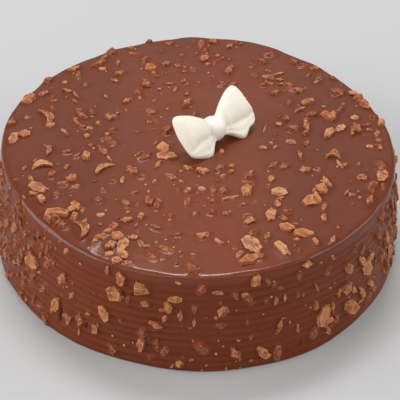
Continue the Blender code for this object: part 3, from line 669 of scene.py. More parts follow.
    def crumbs(self, placed: Sequence[Chip]) -> list[Chip]:
        """Places for the crumbs, the finest bits.

        Args:
            placed: The chips, which most crumbs lie beside.

        Returns:
            The crumbs.
        """
        self.rng = random.Random(SEED + 2)
        made = []
        while len(made) < self.crumb_count:
            surface = self._loose_place(placed, self.crumb_drift)
            length = self.rng.uniform(*self.crumb_length) * MM
            if not self._under_bow(surface[0]):
                made.append(self._loose(surface, CHUNK, length, self.crumb_slim))
        return made


def chip_axes(chip: Chip) -> tuple[Vector, Vector, Vector]:
    """The chip's own directions before it is tipped.

    Args:
        chip: The chip.

    Returns:
        The ways along it, across it, and out of the glaze.
    """
    level = Vector((0, 0, 1)).cross(chip.outward)
    level = level.normalized() if level.length > 0.1 else Vector((1, 0, 0))
    upward = chip.outward.cross(level)
    turn = math.radians(chip.turn)
    along = level * math.cos(turn) + upward * math.sin(turn)
    return along, chip.outward.cross(along), chip.outward


def chip_matrix(chip: Chip, sunk: float) -> Matrix:
    """Where a chip's unit shape goes: laid on the surface, turned, tipped and sunk.

    Args:
        chip: The chip.
        sunk: How much of its height lies in the glaze, as a share.

    Returns:
        The matrix from the unit box to the cake.
    """
    axes = Matrix(chip_axes(chip)).transposed().to_4x4()
    tip_x, tip_y = (math.radians(angle) for angle in chip.tilt)
    tip = Matrix.Rotation(tip_x, 4, "X") @ Matrix.Rotation(tip_y, 4, "Y")
    centre = chip.place + chip.outward * chip.height * (0.5 - sunk)
    size = Matrix.Diagonal((chip.length, chip.width, chip.height, 1))
    return Matrix.Translation(centre) @ axes @ tip @ size


# Modelling helpers


def select_only(*pieces: Piece) -> None:
    """Selects these pieces alone and makes the last one active, so that an operator acts on nothing else.

    Args:
        *pieces: The pieces, or none to deselect everything.
    """
    for item in bpy.context.scene.objects:
        item.select_set(item in pieces)
    if pieces:
        bpy.context.view_layer.objects.active = pieces[-1]


def take_active(name: str) -> Piece:
    """Names the primitive that was just added.

    Args:
        name: Its own name.

    Returns:
        The primitive.
    """
    piece = bpy.context.active_object
    piece.name = name
    piece.data.name = name
    return piece


def add_object(name: str, data: bpy.types.ID) -> Piece:
    """Puts a mesh, a light or a camera into the scene.

    Args:
        name: The object's name.
        data: What it holds.

    Returns:
        The object.
    """
    item = bpy.data.objects.new(name, data)
    bpy.context.scene.collection.objects.link(item)
    return item


@contextmanager
def edit_mode(piece: Piece) -> Iterator[None]:
    """Puts a piece alone into edit mode, and leaves edit mode again.

    Args:
        piece: The piece.

    Yields:
        Nothing.
    """
    select_only(piece)
    bpy.ops.object.mode_set(mode="EDIT")
    yield
    bpy.ops.object.mode_set(mode="OBJECT")


def apply_modifier(piece: Piece, name: str, kind: str, **settings: object) -> None:
    """Gives a piece a modifier and applies it.

    Args:
        piece: The piece.
        name: The modifier's name.
        kind: Its type.
        **settings: Its own properties.
    """
    modifier = piece.modifiers.new(name, kind)
    for key, value in settings.items():
        setattr(modifier, key, value)
    select_only(piece)
    bpy.ops.object.modifier_apply(modifier=name)


def coordinates(mesh: bpy.types.Mesh) -> Array:
    """Reads a mesh's vertices.

    Args:
        mesh: The mesh.

    Returns:
        Their places, one a row.
    """
    found = np.empty(len(mesh.vertices) * 3, np.float32)
    mesh.vertices.foreach_get("co", found)
    return found.reshape(-1, 3).astype(float)


def set_coordinates(mesh: bpy.types.Mesh, places: Array) -> None:
    """Moves the mesh's vertices to the rows of an array."""
    mesh.vertices.foreach_set("co", places.astype(np.float32).ravel())
    mesh.update()


def set_attribute(mesh: bpy.types.Mesh, name: str, values: Array, domain: str = "POINT") -> None:
    """Stores a number, or a vector of three, for each vertex or each face.

    Args:
        mesh: The mesh.
        name: The attribute's name.
        values: The numbers, or the vectors one a row.
        domain: POINT for vertices, FACE for faces.
    """
    kind, key = ("FLOAT_VECTOR", "vector") if values.ndim == 2 else ("FLOAT", "value")
    layer = mesh.attributes.new(name, kind, domain)
    layer.data.foreach_set(key, values.astype(np.float32).ravel())


def soften(piece: Piece, sharp_from: float) -> None:
    """Shades a piece smooth, with edges sharp from an angle in degrees."""
    piece.data.shade_smooth()
    piece.data.set_sharp_from_angle(angle=math.radians(sharp_from))


def ripple(places: Array, length: float, seed: int, waves: int = 9) -> Array:
    """Soft random swells in space, from about -1 to 1.

    Args:
        places: The points, one a row.
        length: The swells' wavelength.
        seed: The seed of their directions.
        waves: How many plane waves are summed.

    Returns:
        The height at each point.
    """
    rng = random.Random(seed)
    total = np.zeros(len(places))
    for _ in range(waves):
        way = Vector((rng.gauss(0, 1), rng.gauss(0, 1), rng.gauss(0, 1))).normalized()
        way *= 2 * math.pi / (length * rng.uniform(0.7, 1.5))
        total += np.sin(places @ np.array(way) + rng.uniform(0, 2 * math.pi))
    return total / math.sqrt(waves / 2) / 1.6


# Finishes


Socket = bpy.types.NodeSocket
Value = float | Socket
Colour = tuple[float, float, float]
Inputs = dict[str | int, object]


class NodeTree:
    """Adds nodes to a shader tree and joins them as it goes."""

    def __init__(self, tree: bpy.types.NodeTree) -> None:
        """Starts on a tree."""
        self.tree = tree

    def add(self, kind: str, inputs: Inputs | None = None, **settings: object) -> bpy.types.Node:
        """Adds a node.

        Args:
            kind: The node's type.
            inputs: Its inputs by name or number, each a constant or another node's output.
            **settings: The node's own properties.

        Returns:
            The node.
        """
        node = self.tree.nodes.new(kind)
        for name, value in settings.items():
            setattr(node, name, value)
        self.feed(node, inputs or {})
        return node

    def feed(self, node: bpy.types.Node, inputs: Inputs) -> None:
        """Sets a node's inputs.

        Args:
            node: The node.
            inputs: Its inputs by name or number, each a constant or another node's output.
        """
        for key, value in inputs.items():
            if isinstance(value, Socket):
                self.tree.links.new(value, node.inputs[key])
            else:
                node.inputs[key].default_value = value

    def noise(self, place: Socket, scale: Value, detail: float = 2.0, rough: float = 0.5) -> Socket:
        """Soft noise from 0 to 1 over a place."""
        values = {"Vector": place, "Scale": scale, "Detail": detail, "Roughness": rough}
        return self.add("ShaderNodeTexNoise", values).outputs["Fac"]

    def step(self, value: Socket, low: float, high: float, start: float = 0.0, end: float = 1.0) -> Socket:
        """A smooth rise over the range from low to high, from the start to the end."""
        values = {"Value": value, 1: low, 2: high, 3: start, 4: end}
        return self.add("ShaderNodeMapRange", values, interpolation_type="SMOOTHSTEP").outputs["Result"]

    def math(self, operation: str, *values: Value) -> Socket:
        """Arithmetic on values.

        Args:
            operation: Its name, with a + at its end where the result is kept between 0 and 1.
            *values: The values.

        Returns:
            The result.
        """
        node = self.add("ShaderNodeMath", dict(enumerate(values)), operation=operation.rstrip("+"))
        node.use_clamp = operation.endswith("+")
        return node.outputs["Value"]

    def mix(self, share: Value, one: Socket | Colour, other: Socket | Colour) -> Socket:
        """Mixes two colours.

        Args:
            share: How much there is of the other one.
            one: A colour.
            other: The other colour.

        Returns:
            The mixed colour.
        """
        one, other = (colour if isinstance(colour, Socket) else (*colour, 1.0) for colour in (one, other))
        return self.add("ShaderNodeMix", {0: share, 6: one, 7: other}, data_type="RGBA").outputs[2]

    def bump(self, height: Socket, strength: float, distance: float) -> Socket:
        """Turns a height into a normal."""
        values = {"Height": height, "Strength": strength, "Distance": distance}
        return self.add("ShaderNodeBump", values).outputs["Normal"]

    def group(self, name: str, inputs: Inputs) -> Socket:
        """Places a node group with its own values, and gives its output."""
        return self.add("ShaderNodeGroup", inputs, node_tree=bpy.data.node_groups[name]).outputs[0]

    def place(self) -> Socket:
        """The point in the object's own coordinates."""
        return self.add("ShaderNodeTexCoord").outputs["Object"]

    def attribute(self, name: str, output: str = "Fac") -> Socket:
        """An attribute of the mesh."""
        return self.add("ShaderNodeAttribute", attribute_name=name).outputs[output]


def new_group(
    name: str, vector: str, numbers: dict[str, float], output: str,
) -> tuple[NodeTree, bpy.types.bpy_prop_collection, bpy.types.Node]:
    """Starts a shader node group with one vector, some numbers and one output.

    Args:
        name: The group's name.
        vector: The name of its vector input.
        numbers: Each number input's default value, by name.
        output: The name of its output, which is a colour if it is called Color, and otherwise a number.

    Returns:
        The group's builder, its inputs as sockets by name, and its output node.
    """
    tree = bpy.data.node_groups.new(name, "ShaderNodeTree")
    tree.interface.new_socket(vector, in_out="INPUT", socket_type="NodeSocketVector")
    for label, default in numbers.items():
        socket = tree.interface.new_socket(label, in_out="INPUT", socket_type="NodeSocketFloat")
        socket.default_value = default
    kind = "NodeSocketColor" if output == "Color" else "NodeSocketFloat"
    tree.interface.new_socket(output, in_out="OUTPUT", socket_type=kind)
    nodes = NodeTree(tree)
    return nodes, nodes.add("NodeGroupInput").outputs, nodes.add("NodeGroupOutput")


def glaze_colour_group() -> bpy.types.NodeTree:
    """The glaze's colour, which drifts a little redder and darker over the cake, and is paler and more orange
    where a nut lies just under it. It carries painted shade down the side, deepest in the rib valleys, painted
    shade near black in the slits, and a darker top away from its middle.

    Returns:
        A group with the inputs Place, Nut and GrooveShadeAndAside, and the output Color.
    """
    nodes, given, end = new_group("glaze_colour", "Place", {"Nut": 0.0, "GrooveShadeAndAside": 0.0}, "Color")
    place = given["Place"]
    drift = nodes.step(nodes.noise(place, 28.0, 1.0), 0.35, 0.65)
    base = nodes.mix(drift, GlazeFinish.BROWN, GlazeFinish.RED)
    cloud = nodes.step(nodes.noise(place, 160.0, 3.0), 0.3, 0.75, 0.0, 0.35)
    base = nodes.mix(cloud, base, GlazeFinish.DEEP)
    # Painted shade down the side, deepest in the rib valleys, and the top darker away from its middle.
    base = nodes.mix(given["GrooveShadeAndAside"], base, GlazeFinish.GROOVE_SHADE_DARK)
    patches = nodes.step(nodes.noise(place, 700.0, 2.0), 0.35, 0.7)
    base = nodes.mix(nodes.math("MULTIPLY+", given["Nut"], patches), base, GlazeFinish.OVER_NUT)
    # Painted shade: the slits are painted near black.
    slit = nodes.step(given["Nut"], -0.7, -0.1, 1.0, 0.0)
    nodes.feed(end, {"Color": nodes.mix(slit, base, GlazeFinish.SLIT_SHADE)})
    return nodes.tree


def soft_lumps_group() -> bpy.types.NodeTree:
    """A low, lumpy height for surfaces that set from a melt.

    Returns:
        A group with the inputs Place, Scale and Pits, and the output Height.
    """
    nodes, given, end = new_group("soft_lumps", "Place", {"Scale": 400.0, "Pits": 0.0}, "Height")
    place = given["Place"]
    lumps = nodes.noise(place, given["Scale"])
    cells = nodes.add("ShaderNodeTexVoronoi", {"Vector": place, "Scale": 95.0})
    chosen = nodes.step(cells.outputs["Color"], 0.93, 0.94)
    near = nodes.step(cells.outputs["Distance"], 0.02, 0.07, 1.0, 0.0)
    pit = nodes.math("MULTIPLY", nodes.math("MULTIPLY", chosen, near), given["Pits"])
    nodes.feed(end, {"Height": nodes.math("SUBTRACT", lumps, pit)})
    return nodes.tree


def nut_colour_group() -> bpy.types.NodeTree:
    """A nut's own colour: toasted tan to red-brown, with darker streaks along its grain.

    Returns:
        A group with the inputs Grain and Tone, and the output Color.
    """
    nodes, given, end = new_group("nut_colour", "Grain", {"Tone": 0.5}, "Color")
    tone = given["Tone"]
    base = nodes.mix(nodes.step(tone, 0.1, 0.6), NutFinish.TAN, NutFinish.ORANGE)
    base = nodes.mix(nodes.step(tone, 0.65, 1.0), base, NutFinish.RED_BROWN)
    stretch = nodes.add("ShaderNodeMapping", {"Vector": given["Grain"], "Scale": (0.9, 5.0, 5.0)})
    streak = nodes.noise(stretch.outputs["Vector"], 1.6, 3.0, 0.65)
    base = nodes.mix(nodes.step(streak, 0.52, 0.78, 0.0, 0.7), base, NutFinish.STREAK)
    pale = nodes.step(streak, 0.25, 0.42, 0.55, 0.0)
    nodes.feed(end, {"Color": nodes.mix(pale, base, NutFinish.PALE_AND_EDGE_HIGHLIGHT)})
    return nodes.tree


class Finish:
    """A finish that is set on one Principled shader."""

    name: str

    def material(self) -> bpy.types.Material:
        """Builds the finish.

        Returns:
            The material.
        """
        material = bpy.data.materials.new(self.name)
        material.use_nodes = True
        shader = material.node_tree.nodes["Principled BSDF"]
        self.wire(NodeTree(material.node_tree), shader)
        return material

    def wire(self, nodes: NodeTree, shader: bpy.types.Node) -> None:
        """Sets the shader's sockets and joins the pattern to them."""
        raise NotImplementedError


@dataclass(frozen=True)
class GlazeFinish(Finish):
    """Milk chocolate glaze, satin, with soft lumps and a few pinholes, and painted shade down its side and in its
    slits.
    """

    BROWN = (0.166, 0.0390, 0.0125)
    RED = (0.176, 0.0355, 0.0125)
    DEEP = (0.135, 0.0275, 0.0095)
    # Painted shade: the dark colour of the rib valleys, also used for the darker top away from its middle.
    GROOVE_SHADE_DARK = (0.073, 0.0135, 0.0050)
    OVER_NUT = (0.335, 0.0990, 0.0370)
    # Painted shade: the near black of the slits.
    SLIT_SHADE = (0.045, 0.0070, 0.0025)

    name: str = "milk_chocolate_glaze"
    roughness: Span = (0.29, 0.41)
    specular: float = 0.12
    lump_scale: float = 420.0
    lump_strength: float = 0.28
    lump_height: float = 0.2 * MM
    pits: float = 2.0
    coat: float = 0.50
    side_coat: float = 0.04
    coat_roughness: float = 0.13

    def wire(self, nodes: NodeTree, shader: bpy.types.Node) -> None:
        """Sets the shader's sockets and joins the pattern to them.

        Args:
            nodes: The material's nodes.
            shader: Its shader.
        """
        place = nodes.place()
        # These marks carry the painted shade of the rib valleys and the painted shade of the slits.
        marks = {"Place": place, "Nut": nodes.attribute("nut_below"), "GrooveShadeAndAside": nodes.attribute("groove_shade_and_aside")}
        lumps = nodes.group("soft_lumps", {"Place": place, "Scale": self.lump_scale, "Pits": self.pits})
        nodes.feed(shader, {
            "Base Color": nodes.group("glaze_colour", marks),
            "Normal": nodes.bump(lumps, self.lump_strength, self.lump_height),
            "Roughness": nodes.step(nodes.noise(place, 300.0, 3.0), 0.3, 0.7, *self.roughness),
            "Specular IOR Level": self.specular,
            "Coat Weight": nodes.step(nodes.attribute("shine"), 0.0, 1.0, self.side_coat, self.coat),
            "Coat Roughness": self.coat_roughness,
        })


@dataclass(frozen=True)
class NutFinish(Finish):
    """Toasted nut, broken open, under a film of glaze that thins towards its upper edges, with paler edges that
    are partly a painted highlight and painted shade at its foot.
    """

    TAN = (0.51, 0.222, 0.092)
    ORANGE = (0.44, 0.142, 0.042)
    RED_BROWN = (0.26, 0.068, 0.021)
    STREAK = (0.25, 0.068, 0.020)
    # Paler nut: the paler patches of its grain, and the painted highlight along its sharp edges.
    PALE_AND_EDGE_HIGHLIGHT = (0.60, 0.305, 0.160)
    # Painted shade: the dark colour at a nut's foot, where it meets the glaze.
    CONTACT_SHADE_COLOUR = (0.075, 0.0150, 0.0050)

    name: str = "chopped_nut"
    roughness: float = 0.42
    specular: float = 0.28
    shows_through: float = 1.2
    # How much paler the sharp edges are: partly paler nut, partly painted highlight.
    pale_edge_highlight: float = 0.8
    contact_shade_strength: float = 0.6
    grain_strength: float = 0.3
    grain_height: float = 0.15 * MM

    def wire(self, nodes: NodeTree, shader: bpy.types.Node) -> None:
        """Sets the shader's sockets and joins the pattern to them.

        Args:
            nodes: The material's nodes.
            shader: Its shader.
        """
        place = nodes.place()
        grain = nodes.attribute("grain", "Vector")
        edge = nodes.math("POWER", nodes.attribute("edge"), 1.8)
        nut = nodes.group("nut_colour", {"Grain": grain, "Tone": nodes.attribute("tone")})
        glaze = nodes.group("glaze_colour", {"Place": place, "Nut": self.shows_through})
        uneven = nodes.math("MULTIPLY_ADD", nodes.noise(place, 800.0, 3.0), 1.3, -0.5)
        rubbed = nodes.math("MULTIPLY_ADD", edge, -1.0, uneven)
        laid_on = nodes.math("ADD", nodes.attribute("film"), nodes.attribute("coat"))
        covered = nodes.step(nodes.math("ADD", laid_on, rubbed), 0.1, 1.0)
        # Paler along the sharp edges: partly crumbly paler nut, partly painted highlight.
        bare_with_edge_highlight = nodes.mix(nodes.math("MULTIPLY", edge, self.pale_edge_highlight), nut, self.PALE_AND_EDGE_HIGHLIGHT)
        # Painted contact shade at the nut's foot.
        contact_shade = nodes.step(nodes.attribute("contact_shade"), 0.2, 0.9, 0.0, self.contact_shade_strength)
        nodes.feed(shader, {
            "Base Color": nodes.mix(contact_shade, nodes.mix(covered, bare_with_edge_highlight, glaze), self.CONTACT_SHADE_COLOUR),
            "Normal": nodes.bump(nodes.noise(grain, 9.0, 3.0), self.grain_strength, self.grain_height),
            "Roughness": self.roughness,
            "Specular IOR Level": self.specular,
        })


@dataclass(frozen=True)
class BowFinish(Finish):
    """Moulded white chocolate: ivory, satin, with painted shade in its creases and a painted highlight on its
    knot.
    """

    IVORY = (0.87, 0.815, 0.69)
    # Darker cream: a random cloud, and painted shade in the creases.
    CREAM_AND_FOLD_SHADE = (0.75, 0.69, 0.57)
    # Painted highlight: the whiter colour of the knot.
    KNOT_HIGHLIGHT = (0.96, 0.94, 0.86)

    name: str = "white_chocolate"
    roughness: float = 0.42
    lump_scale: float = 350.0
    lump_strength: float = 0.15
    lump_height: float = 0.15 * MM
    glow: float = 0.2
    glow_depth: float = 1.5 * MM

    def wire(self, nodes: NodeTree, shader: bpy.types.Node) -> None:
        """Sets the shader's sockets and joins the pattern to them.

        Args:
            nodes: The material's nodes.
            shader: Its shader.
        """
        place = nodes.place()
        cloud = nodes.step(nodes.noise(place, 120.0, 2.0), 0.35, 0.7, 0.0, 0.35)
        # Painted highlight: whiter over the knot.
        body = nodes.mix(nodes.attribute("knot"), self.IVORY, self.KNOT_HIGHLIGHT)
        # Painted shade in the creases, beside the knot and low on the left wing, with a random cloud.
        cream_and_fold_shade = nodes.math("ADD+", nodes.attribute("fold_shade"), cloud)
        lumps = nodes.group("soft_lumps", {"Place": place, "Scale": self.lump_scale})
        nodes.feed(shader, {
            "Base Color": nodes.mix(cream_and_fold_shade, body, self.CREAM_AND_FOLD_SHADE),
            "Normal": nodes.bump(lumps, self.lump_strength, self.lump_height),
            "Roughness": self.roughness,
            "Subsurface Weight": self.glow,
            "Subsurface Radius": (1.0, 0.8, 0.5),
            "Subsurface Scale": self.glow_depth,
        })


@dataclass(frozen=True)
class PlainFinish(Finish):
    """One flat colour, for the floor alone."""

    name: str
    colour: Colour
    roughness: float = 0.9
    specular: float = 0.1

    def wire(self, nodes: NodeTree, shader: bpy.types.Node) -> None:
        """Sets the shader's sockets, all to constants.

        Args:
            nodes: The material's nodes.
            shader: Its shader.
        """
        nodes.feed(shader, {
            "Base Color": (*self.colour, 1.0),
            "Roughness": self.roughness,
            "Specular IOR Level": self.specular,
        })


# Glaze


@dataclass
class Glaze:
    """The glazed surface of the cake, with the swells that it makes over and around the nuts.

    The ribs' wavers are how far they stray and over what length, as shares of a rib and of the radius.
    """

    form: CakeForm
    chips: Sequence[Chip]
    bow_feet: Array
    rings: int = 90
    rim_rows: int = 5
    rim_wave: float = 0.24
    rim_waver: float = 0.55
    rows_per_rib: int = 6
    sunk: float = NUT_SUNK
    plan_corner: float = 2.6
    meniscus: float = 0.45 * MM
    meniscus_reach: float = 0.75 * MM
    meniscus_share: Span = (0.15, 0.9)
    full_width: float = 3.5 * MM
    mound: float = 0.62
    mound_reach: float = 1.45
    mound_fade: float = 0.9
    slit_reach: float = 1.35
    bow_meniscus: float = 0.5 * MM
    bow_meniscus_reach: float = 0.8 * MM
    rib_wavers: Line = ((0.22, 0.9), (0.10, 0.22))
    rib_strength: Span = (0.15, 1.4)
    smooth_band: float = 5.5 * MM
    shine_reach: float = 4 * MM
    top_shine: float = 0.47
    rim_tilt: float = 0.02
    # How strong the painted shade down the side and in the rib valleys is, and how much darker the top is away
    # from its middle.
    groove_shade_share: float = 0.3
    aside_share: float = 0.37
    calm_half: float = 26 * MM
    behind_share: float = 0.58
    matt_from: float = 0.12 * MM
    matt_share: float = 0.72
    swell: float = 0.055 * MM
    swell_length: float = 11 * MM

    def build(self) -> Piece:
        """Builds the glaze as one closed piece.

        Returns:
            The piece.
        """
        piece = self._disc()
        self._add_side(piece)
        places, outward = self._settle(coordinates(piece.data))
        relief, nut_below = self._relief(places)
        self._mark(piece.data, places, outward, relief)
        # How much nut lies just under the glaze, and below 0 the painted shade of the slits.
        set_attribute(piece.data, "nut_below", nut_below)
        relief += self.swell * ripple(places, self.swell_length, SEED)
        relief[places[:, 2] < 0.5 * self.form.foot_round] = 0.0
        set_coordinates(piece.data, places + outward * relief[:, None])
        piece.data.shade_smooth()
        piece.data.materials.append(GlazeFinish().material())
        return piece

    def _mark(self, mesh: bpy.types.Mesh, places: Array, outward: Array, relief: Array) -> None:
        """Stores where the glaze shines, its painted shade down the side and deepest in the rib valleys, and how
        much darker the top is away from its middle.

        Args:
            mesh: The glaze.
            places: The points on it.
            outward: The way out of the glaze at each.
            relief: How far each stands up.
        """
        shine = np.clip(1.5 - (self.form.height - places[:, 2]) / self.shine_reach, 0, 1)
        matt = self.matt_share * np.clip(relief / self.matt_from, 0, 1)
        on_rim = np.clip((1 - outward[:, 2]) / self.rim_tilt, 0, 1)
        glossy = self.top_shine + (1 - self.top_shine) * on_rim
        set_attribute(mesh, "shine", shine * (1 - matt) * glossy)
        ribs = self._ribs(np.arctan2(places[:, 1], places[:, 0]), places[:, 2]) / self.form.rib_depth
        off_middle = np.maximum(np.abs(places[:, 0]), self.behind_share * places[:, 1])
        aside = np.clip((off_middle - self.calm_half) / self.calm_half, 0, 1)
        # Painted shade down the side, deepest in the rib valleys, and the top darker away from its middle.
        shade_and_aside = self.groove_shade_share * (0.25 - 2 * ribs) * (1 - shine) + self.aside_share * aside * shine
        set_attribute(mesh, "groove_shade_and_aside", np.clip(shade_and_aside, 0, 1))

    def _disc(self) -> Piece:
        """A flat round sheet for the top, made from a square grid whose rings become circles.

        Returns:
            The sheet.
        """
        select_only()
        cells = 2 * self.rings
        bpy.ops.mesh.primitive_grid_add(x_subdivisions=cells, y_subdivisions=cells, size=2)
        piece = take_active("glaze")
        x, y, _ = coordinates(piece.data).T
        wide = np.abs(x) >= np.abs(y)
        major = np.where(wide, x, y)
        minor = np.where(wide, y, x)
        ratio = np.divide(minor, major, out=np.zeros_like(major), where=np.abs(major) > 1e-9)
        angle = np.where(wide, ratio, 2 - ratio) * math.pi / 4
        reach = major * (self.form.rim_radius - self.form.rim_round)
        height = np.full_like(x, self.form.height)
        set_coordinates(piece.data, np.column_stack((reach * np.cos(angle), reach * np.sin(angle), height)))
        return piece

    def _add_side(self, piece: Piece) -> None:
        """Bridges the sheet's edge to a circle at the foot, in even rows, and closes the underside.

        Args:
            piece: The sheet.
        """
        with edit_mode(piece):
            foot = self.form.foot_radius - self.form.foot_round
            bpy.ops.mesh.select_all(action="DESELECT")
            bpy.ops.mesh.primitive_circle_add(vertices=8 * self.rings, radius=foot, location=(0, 0, 0))
            self._select_edges(piece, lambda edge: edge.is_boundary or edge.is_wire)
            bpy.ops.mesh.bridge_edge_loops(number_cuts=self._row_count() - 1)
            self._select_edges(piece, lambda edge: edge.is_boundary)
            bpy.ops.mesh.mark_sharp()
            bpy.ops.mesh.edge_face_add()
            bpy.ops.mesh.select_all(action="SELECT")
            bpy.ops.mesh.normals_make_consistent(inside=False)

    @staticmethod
    def _select_edges(piece: Piece, wanted: Callable[[bmesh.types.BMEdge], bool]) -> None:
        """Selects only the edges that answer a question with yes.

        Args:
            piece: The piece, in edit mode.
            wanted: The question.
        """
        shape = bmesh.from_edit_mesh(piece.data)
        for edge in shape.edges:
            edge.select = False
        for edge in shape.edges:
            if wanted(edge):
                edge.select = True
        shape.select_flush_mode()
        bmesh.update_edit_mesh(piece.data)

    def _row_count(self) -> int:
        """The rows from the top's flat edge to the underside's edge."""
        return self.rim_rows + self.rows_per_rib * self.form.rib_count + 1

    def _settle(self, flat: Array) -> tuple[Array, Array]:
        """Lays the rows over the rim and down the ribs, and lets the glaze sway and slump.

        Args:
            flat: The vertices of the sheet, the even rows and the foot.

        Returns:
            Their places on the cake, and the way out of the glaze at each.
        """
        form = self.form
        rows = self._row_count()
        row = np.rint((1 - flat[:, 2] / form.height) * rows).astype(int)
        angle = np.arctan2(flat[:, 1], flat[:, 0])
        radius = np.hypot(flat[:, 0], flat[:, 1])
        height = np.full_like(radius, form.height)
        tip = np.full_like(radius, math.pi / 2)

        bend = math.pi / 2 * (1 - np.clip(row / self.rim_rows, 0, 1))
        rim = (row > 0) & (row <= self.rim_rows)
        around = np.column_stack((np.cos(angle), np.sin(angle), np.zeros_like(angle)))
        tighter = np.clip(0.5 + 0.7 * ripple(around, self.rim_wave, SEED + 7), 0, 1)
        rounding = form.rim_round * (1 - self.rim_waver * tighter)
        radius[rim] = form.rim_radius - rounding[rim] * (1 - np.cos(bend[rim]))
        height[rim] = form.height - rounding[rim] * (1 - np.sin(bend[rim]))
        tip[rim] = bend[rim]

        side = (row > self.rim_rows) & (row < rows)
        down = (row[side] - self.rim_rows) / (self.rows_per_rib * form.rib_count)
        height[side] = form.height - rounding[side] - down * (form.height - rounding[side] - form.foot_round)
        radius[side] = form.side_radius(height[side]) + self._ribs(angle[side], height[side])
        tip[side] = form.flare

        last = row >= rows
        radius[last] = form.foot_radius - form.foot_round
        height[last] = 0.0
        tip[last] = form.flare

        grown = 1 + form.sway(angle, height) / form.rim_radius
        band = 0.1 * form.height
        top_share = np.maximum(0.0, (height - form.height + band) / band)
        x, y = radius * np.cos(angle), radius * np.sin(angle)
        places = np.column_stack((x * grown, y * grown, height + form.top_offset(x, y) * top_share))
        outward = np.column_stack((np.cos(angle) * np.cos(tip), np.sin(angle) * np.cos(tip), np.sin(tip)))
        return places, outward

    def _ribs(self, angle: Array, height: Array) -> Array:
        """How far the comb's ribs stand out, wavering and fading as the glaze has run.

        Args:
            angle: The bearings.
            height: The heights.

        Returns:
            The distances outwards.
        """
        ribs = (self.form.height - self.form.rib_clear - height) / self.form.rib_pitch
        around = np.column_stack((np.cos(angle), np.sin(angle), height / self.form.rim_radius))
        (wide, long), (narrow, short) = self.rib_wavers
        waver = wide * ripple(around, long, SEED + 3) + narrow * ripple(around, short, SEED + 4)
        strength = np.clip(0.85 + 0.45 * ripple(around, 0.5, SEED + 5), *self.rib_strength)
        below_rim = np.clip((self.form.height - self.form.rim_round - height) / self.smooth_band, 0, 1)
        wave = np.cos(2 * math.pi * (ribs + waver))
        return self.form.rib_depth * 0.5 * strength * below_rim * wave

    def _relief(self, places: Array) -> tuple[Array, Array]:
        """How far the glaze stands up at the nuts and at the bow's feet, and down in the slits.

        Args:
            places: The points on the glaze.

        Returns:
            The height at each point, and how much nut is just below it, from 0 to 1; under 0 it is the painted
            shade of a slit.
        """
        rng = random.Random(SEED + 6)
        powers = np.zeros(len(places))
        nut_below = np.zeros(len(places))
        for chip in self.chips:
            along, across, _ = (np.array(axis) for axis in chip_axes(chip))
            away = places - np.array(chip.place)
            near = np.flatnonzero(np.einsum("ij,ij->i", away, away) < (0.75 * chip.length + 3 * MM) ** 2)
            away = away[near]
            u = np.abs(away @ along) / (0.5 * chip.length)
            v = np.abs(away @ across) / (0.5 * chip.width)
            distance = (u ** self.plan_corner + v ** self.plan_corner) ** (1 / self.plan_corner)
            outside = np.maximum(0.0, distance - 1) * 0.25 * (chip.length + chip.width)
            size = min(1.0, chip.width / self.full_width) * rng.uniform(*self.meniscus_share)
            rise = self.meniscus * size * np.exp(-outside / self.meniscus_reach)
            if chip.cover > 0:
                mound = np.clip((self.mound_reach - distance) / self.mound_fade, 0, 1)
                mound = mound * mound * (3 - 2 * mound)
                rise = np.maximum(rise, chip.cover * chip.height * (1 - self.sunk) * self.mound * mound)
                nut_below[near] = np.maximum(nut_below[near], chip.cover * mound)
            powers[near] += rise ** 4
        relief = np.maximum(powers ** 0.25, self._bow_relief(places))
        for slit in SLITS:
            hollow = self._hollow(places, slit)
            relief -= slit.depth * MM * hollow
            # Painted shade: a slit is marked below 0, to be painted near black.
            nut_below = np.where(hollow > 0.02, -hollow, nut_below)
        return relief, nut_below

    def _hollow(self, places: Array, slit: Slit) -> Array:
        """How far into a slit the points lie.

        Args:
            places: The points on the glaze.
            slit: The slit.

        Returns:
            A share of its depth for each point, from 0 to 1.
        """
        place, out = self.form.on_side(math.radians(slit.bearing), slit.height * MM)
        length, width = slit.length * MM, slit.width * MM
        axes = chip_axes(Chip(place, out, length, width, 0.0, slit.turn, (0.0, 0.0), SHARD))
        along, across, _ = (np.array(axis) for axis in axes)
        away = places - np.array(place)
        distance = np.hypot(away @ along / (0.5 * length), away @ across / (0.5 * width))
        near = np.linalg.norm(away, axis=1) < length
        return np.where(near, np.clip(self.slit_reach - distance, 0, 1), 0)

    def _bow_relief(self, places: Array) -> Array:
        """How far the glaze stands up around the bow's feet.

        Args:
            places: The points on the glaze.

        Returns:
            The height at each point.
        """
        tree = KDTree(len(self.bow_feet))
        for index, foot in enumerate(self.bow_feet):
            tree.insert(foot, index)
        tree.balance()
        relief = np.zeros(len(places))
        reach = 6 * self.bow_meniscus_reach
        low, high = self.bow_feet.min(0) - reach, self.bow_feet.max(0) + reach
        for index in np.flatnonzero(((places > low) & (places < high)).all(1)):
            distance = tree.find(places[index])[2]
            relief[index] = self.bow_meniscus * math.exp(-distance / self.bow_meniscus_reach)
        return relief


# Nuts


@dataclass(frozen=True)
class UnitShape:
    """A chip's shape in a unit box.

    It has its vertices, its faces, how much of an edge each vertex is on, and the number of the flat
    break that each face belongs to.
    """

    places: Array
    faces: list[tuple[int, ...]]
    edge: Array
    breaks: list[int]


